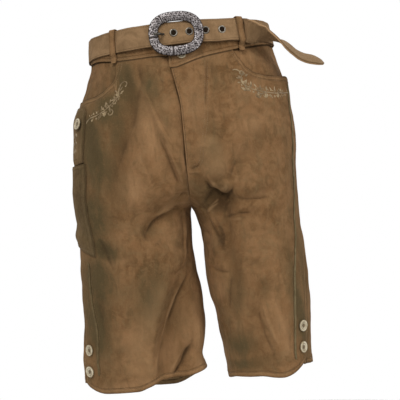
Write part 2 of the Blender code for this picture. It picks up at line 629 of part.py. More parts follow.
def make_piping(skin):
    """A cord standing on the front panel along the outseam."""
    top, low = PIPING_ENDS[skin.leg]
    z = np.linspace(top, low, 34 if skin.leg == "left" else 16)
    distance = curve_through(OUTSEAM[skin.leg], "z", "piping", z)
    lift = ON_SKIN + PIPING_RADIUS + stands_off(skin, distance, z)
    spine, normal = skin.at(skin.across(distance, z), z, lift)
    tube("piping_" + skin.leg, spine, normal, PIPING_RADIUS, "piping")


def tube(name, spine, normal, radius, finish, sides=6):
    along = np.gradient(spine, axis=0)
    along /= np.linalg.norm(along, axis=1, keepdims=True)
    across = np.cross(along, normal)
    across /= np.linalg.norm(across, axis=1, keepdims=True)
    up = np.cross(across, along)
    radius = np.broadcast_to(radius, len(spine))
    turns = 2 * math.pi * np.arange(sides) / sides
    rings = (
        spine[:, None]
        + across[:, None] * (np.cos(turns) * radius[:, None])[..., None]
        + up[:, None] * (np.sin(turns) * radius[:, None])[..., None]
    )
    faces = [tuple(range(sides)), tuple(range(len(spine) * sides - 1, (len(spine) - 1) * sides - 1, -1))]
    for i in range(len(spine) - 1):
        for j in range(sides):
            k = (j + 1) % sides
            faces.append((i * sides + j, i * sides + k, (i + 1) * sides + k, (i + 1) * sides + j))
    return add_object(name, rings.reshape(-1, 3), faces, finish)


# Where each button sits: on which leg, in front of the side line, at what height, over how much.
Button = namedtuple("Button", "name leg distance z lift radius")
HEM_BUTTON_HEIGHTS = {"right": ((1, -0.5660), (2, -0.6050)), "left": ((1, -0.5545), (2, -0.5930))}
BUTTON_TO_PIPING = 0.0205


def buttons(skins):
    left = skins["left"]
    from_centre = float(left.length(-0.055, "front")) - 0.0105
    rows = [
        Button("waist_button", "left", from_centre, -0.0550, BAND_OUT + 0.0005, 0.0085),
        Button("knife_pocket_button", "right", 0.0680, -0.1550, 0.0072, 0.0105),
    ]
    for leg in ("right", "left"):
        for number, z in HEM_BUTTON_HEIGHTS[leg]:
            beside = float(curve_through(OUTSEAM[leg], "z", "piping", z)) - BUTTON_TO_PIPING
            rows.append(Button(f"hem_button_{leg}_{number}", leg, beside, z, ON_SKIN, BUTTON_RADIUS))
    return rows


# A button's section, from its middle to its rim and round to its back: share of radius, of thickness.
BUTTON_SECTION = ((0.0, 0.55), (0.45, 0.62), (0.70, 1.0), (0.92, 0.86), (1.0, 0.45), (0.86, 0.0), (0.0, 0.0))


def make_button(row, skin, sides=14):
    centre, normal = skin.at(skin.across(row.distance, row.z), row.z, row.lift)
    level = np.cross([0, 0, 1.0], normal)
    level /= np.linalg.norm(level)
    upright = np.cross(normal, level)
    points = [centre + normal * BUTTON_THICK * BUTTON_SECTION[0][1]]
    for reach, height in BUTTON_SECTION[1:-1]:
        for turn in 2 * math.pi * np.arange(sides) / sides:
            away = level * math.cos(turn) + upright * math.sin(turn)
            points.append(centre + away * row.radius * reach + normal * BUTTON_THICK * height)
    points.append(centre)
    rings = len(BUTTON_SECTION) - 2
    faces = []
    for j in range(sides):
        k = (j + 1) % sides
        faces.append((0, 1 + j, 1 + k))
        for ring in range(rings - 1):
            a, b = 1 + ring * sides, 1 + (ring + 1) * sides
            faces.append((a + j, b + j, b + k, a + k))
        last = 1 + (rings - 1) * sides
        faces.append((last + j, len(points) - 1, last + k))
    add_object(row.name, points, faces, "horn")


# ---------------------------------------------------------------- belt, loops and buckle

# The free end after it leaves the waist, along the middle of its width. tilt turns its upper edge
# forward: upright at 0, edge on at 90, and past that its inner side is uppermost.
TailPoint = namedtuple("TailPoint", "x y z tilt")
TAIL = [
    TailPoint(0.1260, -0.1102, -0.0250, 12),
    TailPoint(0.1378, -0.1104, -0.0305, 36),
    TailPoint(0.1474, -0.1060, -0.0339, 58),
    TailPoint(0.1612, -0.0997, -0.0392, 78),
    TailPoint(0.1740, -0.0940, -0.0440, 98),
    TailPoint(0.1866, -0.0890, -0.0494, 117),
    TailPoint(0.1977, -0.0840, -0.0579, 122),
    TailPoint(0.2098, -0.0790, -0.0684, 121),
    TailPoint(0.2242, -0.0730, -0.0750, 120),
    TailPoint(0.2410, -0.0660, -0.0788, 119),
    TailPoint(0.2568, -0.0590, -0.0846, 118),
]
TAIL_LEAN = -2  # where it leaves, it leans back as the waistband does
TAIL_POINTS = 26
BELT_STEP = 0.0125
Knot = namedtuple("Knot", "run value")


def round_the_waist(skins, run, z, out):
    """Points at distances round the waist, from the centre front towards the wearer's left.

    A full turn ends at the centre front again, and the belt's free end runs on over its beginning.
    """
    left, right = skins["left"], skins["right"]
    points = np.zeros((*np.shape(run), 3))
    normals = np.zeros_like(points)
    start = 0.0
    for skin, from_front in ((left, True), (right, False), (left, True)):
        front, back = float(skin.length(BELT_Z, "front")), float(skin.length(BELT_Z, "back"))
        here = (run >= start) & (run <= start + front + back + 1e-9)
        share = np.clip(run - start, 0, front + back)
        distance = front - share if from_front else share - back
        across = np.clip(skin.across(distance, np.full(np.shape(run), BELT_Z)), -1, 1)
        place, normal = skin.at(across, z, out)
        points[here], normals[here] = place[here], normal[here]
        start += front + back
    return points, normals


def make_belt(skins):
    """One strap: from the buckle round the waist, over its own beginning, and off at the left hip."""
    turn = sum(float(skins[leg].length(BELT_Z, face)) for leg in skins for face in ("front", "back"))
    end = turn + BELT_LEAVES
    count = int((end - BELT_START) / BELT_STEP)
    run = np.linspace(BELT_START, end, count)
    out = BELT_INNER + (BELT_OUTER - BELT_INNER) * smooth_step(turn - 0.110, turn - 0.068, run)
    edges = []
    for up in (0.5, -0.5):
        z = np.full(count, BELT_Z + up * BELT_WIDTH)
        under, normal = round_the_waist(skins, run, z, out)
        edges.append((under, under + normal * BELT_THICK))
    (top_in, top_out), (low_in, low_out) = edges
    sections = np.stack([top_in, top_out, low_out, low_in], axis=1)
    sections = np.concatenate([sections, tail_sections(sections[-1])])
    faces = [(0, 1, 2, 3), tuple(4 * (len(sections) - 1) + k for k in (3, 2, 1, 0))]
    for i in range(len(sections) - 1):
        for j in range(4):
            k = (j + 1) % 4
            faces.append((4 * i + j, 4 * i + k, 4 * i + 4 + k, 4 * i + 4 + j))
    return add_object("belt", sections.reshape(-1, 3), faces, "belt_suede", sharp=50)


def tail_sections(last):
    """Sections of the free end, twisting, with a round tip."""
    middle = last.mean(axis=0)
    knots = np.array([middle] + [(p.x, p.y, p.z) for p in TAIL])
    tilts = np.array([TAIL_LEAN] + [p.tilt for p in TAIL])
    run = np.concatenate([[0], np.cumsum(np.linalg.norm(np.diff(knots, axis=0), axis=1))])
    where = np.linspace(0, run[-1], TAIL_POINTS + 1)
    # The last stretch is closer together, so that the tip is round.
    where = np.concatenate([where[1:-1], run[-1] - np.array([0.005, 0.0025, 0.0008, 0.0])])

    def along_run(values):
        return curve_through([Knot(a, b) for a, b in zip(run, values)], "run", "value", where)

    spine = np.stack([along_run(knots[:, k]) for k in range(3)], axis=1)
    tilt = np.radians(along_run(tilts))
    along = np.gradient(np.concatenate([middle[None], spine]), axis=0)[1:]
    along /= np.linalg.norm(along, axis=1, keepdims=True)
    width = np.stack([0 * tilt, -np.sin(tilt), np.cos(tilt)], axis=1)
    width -= along * (width * along).sum(axis=1, keepdims=True)
    width /= np.linalg.norm(width, axis=1, keepdims=True)
    thick = np.cross(width, along)
    thick *= np.sign(-thick[:1, 1:2])
    left = (run[-1] - where) / (BELT_WIDTH * 0.55)
    half = BELT_WIDTH / 2 * np.sqrt(np.clip(1 - np.clip(1 - left, 0, 0.98) ** 2, 0.03, 1))
    half = half[:, None]
    body = BELT_THICK / 2
    return np.stack(
        [
            spine + width * half - thick * body,
            spine + width * half + thick * body,
            spine - width * half + thick * body,
            spine - width * half - thick * body,
        ],
        axis=1,
    )


# Belt loops: where along the waist from the centre front, and over how many layers of belt.
Loop = namedtuple("Loop", "name leg face from_centre layers")
LOOPS = [
    Loop("belt_loop_front_right", "right", "front", 0.1120, 1),
    Loop("belt_loop_front_left", "left", "front", 0.1175, 2),
    Loop("belt_loop_back_right", "right", "back", 0.110, 1),
    Loop("belt_loop_back_left", "left", "back", 0.110, 1),
    Loop("belt_loop_back", "left", "back", 0.0, 1),
]
LOOP_LOW = -0.0560


def make_loop(loop, skins):
    """A strip from over the waistband's top edge, across the belt, to the waist seam."""
    skin = skins[loop.leg]
    over = BELT_INNER + loop.layers * (BELT_THICK + BELT_FLOAT) + 0.0004
    belt_top, belt_low = BELT_Z + BELT_WIDTH / 2, BELT_Z - BELT_WIDTH / 2
    on_band = BAND_OUT + BELT_FLOAT
    rows = [  # height of the under face and of the outer one, then how far out each is
        (belt_top + 0.0009, belt_top + 0.0030, BAND_OUT - BAND_THICK, BAND_OUT - BAND_THICK),
        (belt_top + 0.0007, belt_top + 0.0030, over * 0.5, over),
        (belt_top + 0.0005, belt_top + 0.0005, over, over + LOOP_THICK),
        (BELT_Z, BELT_Z, over, over + LOOP_THICK),
        (belt_low - 0.0010, belt_low - 0.0010, over, over + LOOP_THICK),
        (belt_low - 0.0060, belt_low - 0.0075, on_band, on_band + LOOP_THICK),
        (LOOP_LOW, LOOP_LOW, on_band, on_band + LOOP_THICK),
    ]
    sides = np.linspace(-LOOP_WIDTH / 2, LOOP_WIDTH / 2, 3)[None, :]
    faces = []
    for height, out in ((1, 3), (0, 2)):
        z = np.array([row[height] for row in rows])[:, None] + 0 * sides
        away = np.array([row[out] for row in rows])[:, None] + 0 * sides
        length = skin.length(BELT_Z, loop.face)
        if loop.from_centre == 0:
            faces.append(across_the_back(skins, sides + 0 * z, z, away))
            continue
        distance = (length - loop.from_centre) * (1 if loop.face == "front" else -1) + sides + 0 * z
        points, _ = skin.at(skin.across(distance, np.full_like(z, BELT_Z)), z, away)
        faces.append(points)
    return wall(loop.name, faces[0], faces[1], "suede")


def across_the_back(skins, offset, z, out):
    """Points either side of the centre back."""
    left, _ = skins["left"].at(-1 + np.clip(offset, 0, None) / skins["left"].length(z, "back"), z, out)
    right, _ = skins["right"].at(-1 + np.clip(-offset, 0, None) / skins["right"].length(z, "back"), z, out)
    side = np.sign(offset)[..., None]
    return np.where(side > 0, left, np.where(side < 0, right, (left + right) / 2))


BUCKLE_X, BUCKLE_Z = -0.0037, -0.0200
BUCKLE_HALF_WIDTH, BUCKLE_HALF_HEIGHT = 0.0478, 0.0385
FRAME_WIDTH, FRAME_THICK = 0.0165, 0.0062
FRAME_POWER = 2.6  # fuller than an oval, squarer at its corners
FRAME_OUT = BELT_OUTER + BELT_THICK + 0.0021
# The frame's own section: across its width, and how high over its flat back, both as shares.
FRAME_SECTION = ((-1.0, 0.0), (-1.0, 0.45), (-0.6, 0.9), (0.0, 1.0), (0.6, 0.9), (1.0, 0.45), (1.0, 0.0))


def front_face(skins, x, z, out):
    """The point straight in front of x and z, out of the cloth by out along -Y."""
    skin = skins["right"] if x < CENTRE_X else skins["left"]
    z_in = min(z, Skin.TOP - 0.003)
    across = np.linspace(0.4, 1, 241)
    line, _ = skin.at(across, np.full(241, z_in))
    order = np.argsort(line[:, 0])
    y = np.interp(x, line[order, 0], line[order, 1])
    return np.array([x, y - out, z])


def closed_ring(name, centres, sides, fronts, section, finish):
    """Sweeps a section round a closed path. sides and fronts hold each place's half width and height."""
    count, points = len(centres), []
    for centre, side, front in zip(centres, sides, fronts):
        points += [centre + side * across + front * high for across, high in section]
    step = len(section)
    faces = []
    for i in range(count):
        after = (i + 1) % count
        for j in range(step):
            k = (j + 1) % step
            faces.append((i * step + j, i * step + k, after * step + k, after * step + j))
    return add_object(name, points, faces, finish)


def make_buckle(skins, places=44):
    centres, sides, fronts = [], [], []
    half_x = BUCKLE_HALF_WIDTH - FRAME_WIDTH / 2
    half_z = BUCKLE_HALF_HEIGHT - FRAME_WIDTH / 2
    for turn in 2 * math.pi * np.arange(places) / places:
        cosine, sine = math.cos(turn), math.sin(turn)
        x = half_x * math.copysign(abs(cosine) ** (2 / FRAME_POWER), cosine)
        z = half_z * math.copysign(abs(sine) ** (2 / FRAME_POWER), sine)
        out_x = math.copysign(abs(x / half_x) ** (FRAME_POWER - 1), x) / half_x
        out_z = math.copysign(abs(z / half_z) ** (FRAME_POWER - 1), z) / half_z
        length = math.hypot(out_x, out_z)
        centres.append(front_face(skins, BUCKLE_X + x, BUCKLE_Z + z, FRAME_OUT))
        sides.append(np.array([out_x / length, 0, out_z / length]) * FRAME_WIDTH / 2)
        fronts.append(np.array([0, -FRAME_THICK, 0]))
    closed_ring("buckle_frame", centres, sides, fronts, FRAME_SECTION, "silver")


# The prong, from the strap inside the frame up on to the frame's wearer's-right side.
ProngPoint = namedtuple("ProngPoint", "x over_strap radius")
PRONG = [
    ProngPoint(-0.0235, 0.0022, 0.0016),
    ProngPoint(-0.0275, 0.0026, 0.0020),
    ProngPoint(-0.0305, 0.0072, 0.0023),
    ProngPoint(-0.0345, 0.0108, 0.0024),
    ProngPoint(-0.0390, 0.0119, 0.0023),
    ProngPoint(-0.0425, 0.0119, 0.0018),
]


def make_prong(skins):
    strap = BELT_OUTER + BELT_THICK
    spine = np.array([front_face(skins, p.x, BELT_Z, strap + p.over_strap) for p in PRONG])
    tube("buckle_prong", spine, np.array([[0, 0, 1.0]]), np.array([p.radius for p in PRONG]), "nickel", 8)


EYELET_RADIUS, EYELET_BODY = 0.0056, 0.0014
EYELET_FIRST, EYELET_PITCH, EYELET_COUNT = -0.0085, 0.0275, 4


def make_eyelets(skins, places=16):
    for number in range(EYELET_COUNT):
        x = EYELET_FIRST + number * EYELET_PITCH
        middle = front_face(skins, x, BELT_Z + 0.0010, 0)
        beside = front_face(skins, x + 0.002, BELT_Z + 0.0010, 0)
        level = (beside - middle) / np.linalg.norm(beside - middle)
        normal = np.cross(level, [0, 0, 1.0])
        middle = middle + normal * (BELT_OUTER + BELT_THICK + 0.0004)
        centres, sides, fronts = [], [], []
        for turn in 2 * math.pi * np.arange(places) / places:
            away = level * math.cos(turn) + np.array([0, 0, 1.0]) * math.sin(turn)
            centres.append(middle + away * EYELET_RADIUS)
            sides.append(away * EYELET_BODY)
            fronts.append(normal * 0.0011)
        section = ((-1.0, 0.0), (-0.7, 0.8), (0.2, 1.0), (1.0, 0.0))
        closed_ring(f"eyelet_{number + 1}", centres, sides, fronts, section, "nickel")


def clear_scene():
    for old in list(bpy.data.objects):
        bpy.data.objects.remove(old)


def main():
    clear_scene()
    skins = {leg: Skin(leg) for leg in ("right", "left")}
    for leg, other in (("right", "left"), ("left", "right")):
        make_front(skins[leg], skins[other])
        make_back(skins[leg])
        make_facing(skins[leg])
        make_waistband(skins[leg], skins[other])
        make_piping(skins[leg])
    make_knife_pocket(skins["right"])
    make_flap(skins["right"])
    for row in buttons(skins):
        make_button(row, skins[row.leg])
    make_belt(skins)
    for loop in LOOPS:
        make_loop(loop, skins)
    make_buckle(skins)
    make_prong(skins)
    make_eyelets(skins)


main()
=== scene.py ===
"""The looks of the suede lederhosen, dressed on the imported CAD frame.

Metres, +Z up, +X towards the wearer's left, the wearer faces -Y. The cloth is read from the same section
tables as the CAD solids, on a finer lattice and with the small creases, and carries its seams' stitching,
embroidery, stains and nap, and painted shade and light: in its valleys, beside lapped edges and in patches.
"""

import math
from collections import namedtuple

import bmesh
import bpy
import numpy as np
from mathutils import Matrix, Vector


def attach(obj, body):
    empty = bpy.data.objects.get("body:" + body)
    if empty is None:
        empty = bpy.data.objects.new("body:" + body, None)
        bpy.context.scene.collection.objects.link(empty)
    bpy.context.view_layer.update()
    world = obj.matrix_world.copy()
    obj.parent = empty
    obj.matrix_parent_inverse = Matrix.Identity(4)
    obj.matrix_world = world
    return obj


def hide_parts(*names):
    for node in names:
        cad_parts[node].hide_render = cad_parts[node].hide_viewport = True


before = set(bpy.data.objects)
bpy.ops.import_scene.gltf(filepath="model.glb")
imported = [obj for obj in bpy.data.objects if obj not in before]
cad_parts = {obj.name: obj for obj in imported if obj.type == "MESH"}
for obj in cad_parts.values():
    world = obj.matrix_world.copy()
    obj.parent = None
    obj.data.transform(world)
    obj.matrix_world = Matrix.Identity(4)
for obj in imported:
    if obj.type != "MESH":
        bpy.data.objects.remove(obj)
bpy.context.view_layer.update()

# ---------------------------------------------------------------- sizes of the cloth and its trimmings

SUEDE = 0.0020  # thickness of the garment's leather
GAP = 0.0003  # between pieces that meet at a seam
WAIST_GAP = 0.0009  # between the waistband and the panels
PAST_CENTRE = 0.0002  # each leg's cloth passes the centre seam's plane by this, so no light comes through
SEWN_UP = 0.0030  # the panels' tops reach this far up inside the waistband
TUCK = 0.0032  # how far a lapped edge lies under the piece on top of it
LAP = 0.008  # width of cloth hidden under a lapped edge
TUCK_RUN = 0.014  # distance over which a lapped edge sinks
CENTRE_X = -0.008  # the plane of the centre seams
FORK_Z = -0.325  # where the centre seams and the inseams meet

FLY_END_Z = -0.250  # below it the centre front is a plain seam
FLY_REACH = 0.013  # at the waist the left side laps this far past the centre

BAND_THICK = 0.0030  # waistband, two layers of suede
BAND_OUT = 0.0012  # its outer face stands this far out of the skin
BAND_TOP = 0.0

BELT_WIDTH = 0.040
BELT_THICK = 0.0030
BELT_Z = -0.0190  # middle of the belt's width
BELT_FLOAT = 0.0005  # clearance under each layer of belt
BELT_INNER = BAND_OUT + BELT_FLOAT  # the under face of the layer next to the waistband
BELT_OUTER = BELT_INNER + BELT_THICK + BELT_FLOAT  # the under face of the free end, on top of it
BELT_START = 0.036  # the buckle's end of the belt, past the centre
BELT_LEAVES = 0.1260  # where the free end leaves the waist, past the centre

BUTTON_RADIUS = 0.0102
BUTTON_THICK = 0.0036
LOOP_WIDTH = 0.0115
LOOP_THICK = 0.0020

# ---------------------------------------------------------------- the tables of the cloth
# Lengths in the tables are in millimetres.


def in_metres(kind, lengths, table):
    """A table's rows by name, with their first few values turned from millimetres into metres."""
    return {
        place: [kind(*(np.array(value) / 1000 for value in row[:lengths]), *row[lengths:]) for row in rows]
        for place, rows in table.items()
    }


# One row for each height. outer and inner are the leg's two edges seen from the front; above the fork,
# inner is the far edge of the oval of which this leg's half is a part. front and back are the depths,
# side is where the side line runs, and power is the oval's fullness (2 is an ellipse).
Section = namedtuple("Section", "z outer inner front back side power")
SECTIONS = in_metres(Section, 6, {
    "right": [
        (20, -162, 146, -122, 116, 0, 2.15), (0, -164.5, 148.5, -124, 119, 0, 2.15),
        (-50, -170.5, 154.5, -127, 126, 0, 2.15), (-80, -180.5, 164.5, -132, 133, 0, 2.2),
        (-110, -192, 176, -135.5, 139, 0, 2.25), (-150, -206, 185, -137.5, 145, 0, 2.3),
        (-200, -212, 145, -137, 148, 0, 2.3), (-250, -216, 88, -131, 144, 0, 2.3),
        (-290, -219, 36, -123, 134, 1, 2.3), (-315, -220, 3, -115, 124, 2, 2.25),
        (-325, -221, -8.5, -111, 119, 2, 2.2), (-340, -222, -11, -106, 112, 3, 2.15),
        (-370, -223.5, -12, -99, 101, 4, 2.1), (-400, -226, -13, -93, 93, 4, 2.1),
        (-440, -227, -10, -86, 83, 4, 2.1), (-480, -229, -4, -80, 75, 4, 2.1),
        (-520, -230, -3, -75, 68, 3, 2.1), (-560, -235, -6, -71, 62, 2, 2.1),
        (-595, -239, -14, -68, 58, 2, 2.1), (-625, -239, -8, -66, 57, 2, 2.1),
        (-665, -236, -2, -64, 56, 2, 2.1),
    ],
    "left": [
        (20, 163, -179, -122, 116, 0, 2.15), (0, 165.5, -181.5, -124, 119, 0, 2.15),
        (-50, 173, -189, -127, 126, 0, 2.15), (-80, 181.5, -197.5, -132, 133, 0, 2.2),
        (-113, 188.5, -204, -136, 140, 0, 2.25), (-150, 195.5, -196.5, -138, 145, 0, 2.3),
        (-200, 198.5, -160, -137.5, 148, 0, 2.3), (-250, 195, -104, -132.5, 144, 0, 2.3),
        (-290, 192, -50, -126, 135, 0, 2.3), (-315, 191.5, -16.5, -120, 127, 0, 2.25),
        (-325, 191.5, -7.5, -118, 124, 0, 2.2), (-340, 191.5, -1, -115, 119, 0, 2.15),
        (-370, 192, 6, -111, 112, 0, 2.1), (-400, 194.5, 6.5, -108, 107, 0, 2.1),
        (-440, 196, 6, -105, 102, 0, 2.1), (-480, 196.5, 9.5, -102, 98, 0, 2.1),
        (-520, 195.5, 18, -99, 95, 0, 2.1), (-560, 192.5, 21, -96.5, 92.5, 0, 2.1),
        (-595, 190, 25.5, -94.5, 90.5, 0, 2.1), (-625, 188.5, 29, -93.5, 89.5, 0, 2.1),
        (-665, 187, 32, -93, 89, 0, 2.1),
    ],
})

# The piping on the outseam: for each height, the distance along the cloth in front of the side line. The
# front panel's outer edge, the lap, runs behind it.
Seam = namedtuple("Seam", "z piping")
OUTSEAM = in_metres(Seam, 2, {
    "right": [(20, 44), (-110, 50), (-200, 60), (-300, 68), (-390, 68), (-460, 61), (-560, 65), (-660, 62)],
    "left": [
        (20, 36), (-110, 41), (-170, 54), (-240, 63), (-330, 67), (-380, 73), (-430, 84), (-510, 93),
        (-660, 95),
    ],
})
PIPING_TO_LAP = 0.040


def edges(table):
    """Edges that aren't level: for each leg, pairs of across and height, with the heights in metres.

    across runs from 0 at the side line to 1 at the centre front, or to -1 at the centre back.
    """
    return {leg: [(across, z / 1000) for across, z in pairs] for leg, pairs in table.items()}


WAIST_SEAM = edges({
    "right": [(-1, -52), (-0.5, -47), (0, -42), (0.3, -45), (0.55, -52.5), (0.8, -53.5), (1, -56.5)],
    "left": [
        (-1, -52), (-0.5, -45), (0, -38), (0.14, -39), (0.43, -47), (0.58, -53), (0.8, -62), (1, -76.5),
    ],
})
POCKET_EDGE = edges({
    "right": [
        (0, -112.5), (0.15, -112), (0.31, -110), (0.42, -105), (0.49, -94), (0.53, -79), (0.548, -54),
    ],
    "left": [(0, -104), (0.08, -103), (0.36, -101), (0.455, -97), (0.525, -85), (0.558, -68), (0.582, -54)],
})
FRONT_HEM = edges({
    "right": [
        (0, -647), (0.45, -645), (0.53, -638), (0.6, -632), (0.68, -630), (0.77, -629), (0.91, -623),
        (1, -620),
    ],
    "left": [(0, -641), (0.44, -640), (0.59, -635), (0.76, -636), (0.93, -643), (1, -640)],
})
BACK_HEM = edges({
    "right": [(-1, -620), (-0.85, -640), (-0.65, -660), (-0.35, -655), (0, -632), (0.2, -626)],
    "left": [(-1, -640), (-0.6, -640), (0, -631), (0.25, -626)],
})
# The front panel's lower corner is cut round at the vent: from how far along, and how high.
Vent = namedtuple("Vent", "reach rise")
VENT = {"right": Vent(0.050, 0.018), "left": Vent(0.065, 0.030)}

# The largest folds. height is out of the cloth, and down into it where negative. low and high are the
# fold's reach towards -X and +X. route is in x and z as seen from the face named.
Fold = namedtuple("Fold", "height low high route")
FOLDS = in_metres(Fold, 4, {
    ("right", "front"): [
        (-7, 30, 24, [(-79, -60), (-96, -143), (-120, -210), (-131, -270), (-147, -350)]),
        (5.5, 18, 14, [(-70, -80), (-56, -147), (-41, -192), (-25, -240), (-12, -292)]),
        (-6.5, 13, 12, [(-74, -120), (-60, -165), (-45, -215), (-30, -260), (-14, -300)]),
        (-8, 17, 13, [(-11, -309), (-38, -321), (-64, -336), (-87, -355), (-98, -385)]),
        (5, 16, 16, [(-35, -345), (-48, -390), (-45, -440)]),
        (11, 40, 22, [(-45, -440), (-66, -489), (-92, -535), (-108, -575), (-122, -650)]),
        (-24, 18, 28, [(-34, -440), (-52, -489), (-72, -535), (-82, -575), (-82, -650)]),
        (-11, 10, 14, [(-34, -572), (-50, -604), (-64, -650)]),
        (6, 20, 18, [(-18, -520), (-18, -580), (-24, -650)]),
    ],
    ("right", "back"): [
        (-8, 22, 22, [(-30, -300), (-70, -345), (-120, -375)]),
        (-6, 30, 30, [(-110, -400), (-105, -500), (-95, -650)]),
        (6, 24, 24, [(-50, -110), (-45, -180), (-30, -260)]),
    ],
    ("left", "front"): [
        (11, 24, 24, [(30, -200), (36, -245), (46, -282)]),
        (-17, 18, 18, [(28, -292), (40, -314), (56, -322), (70, -305)]),
        (-6, 14, 14, [(72, -292), (80, -262), (95, -240), (120, -225)]),
        (-4.5, 12, 12, [(74, -314), (107, -318), (145, -306)]),
        (-5.5, 12, 12, [(52, -362), (78, -347), (118, -340)]),
        (-9, 12, 14, [(46, -322), (47, -362), (52, -415), (56, -470)]),
        (5, 10, 10, [(30, -330), (32, -370), (36, -420)]),
        (4.5, 22, 20, [(28, -70), (26, -130), (26, -190)]),
        (-3.5, 14, 16, [(52, -75), (50, -140), (56, -200)]),
        (-6, 26, 26, [(80, -420), (84, -500), (92, -570), (100, -650)]),
        (5, 20, 20, [(112, -500), (124, -570), (130, -650)]),
    ],
    ("left", "back"): [
        (-8, 22, 22, [(14, -300), (54, -345), (104, -375)]),
        (-6, 30, 30, [(80, -400), (92, -500), (100, -650)]),
        (6, 24, 24, [(34, -110), (29, -180), (14, -260)]),
    ],
})

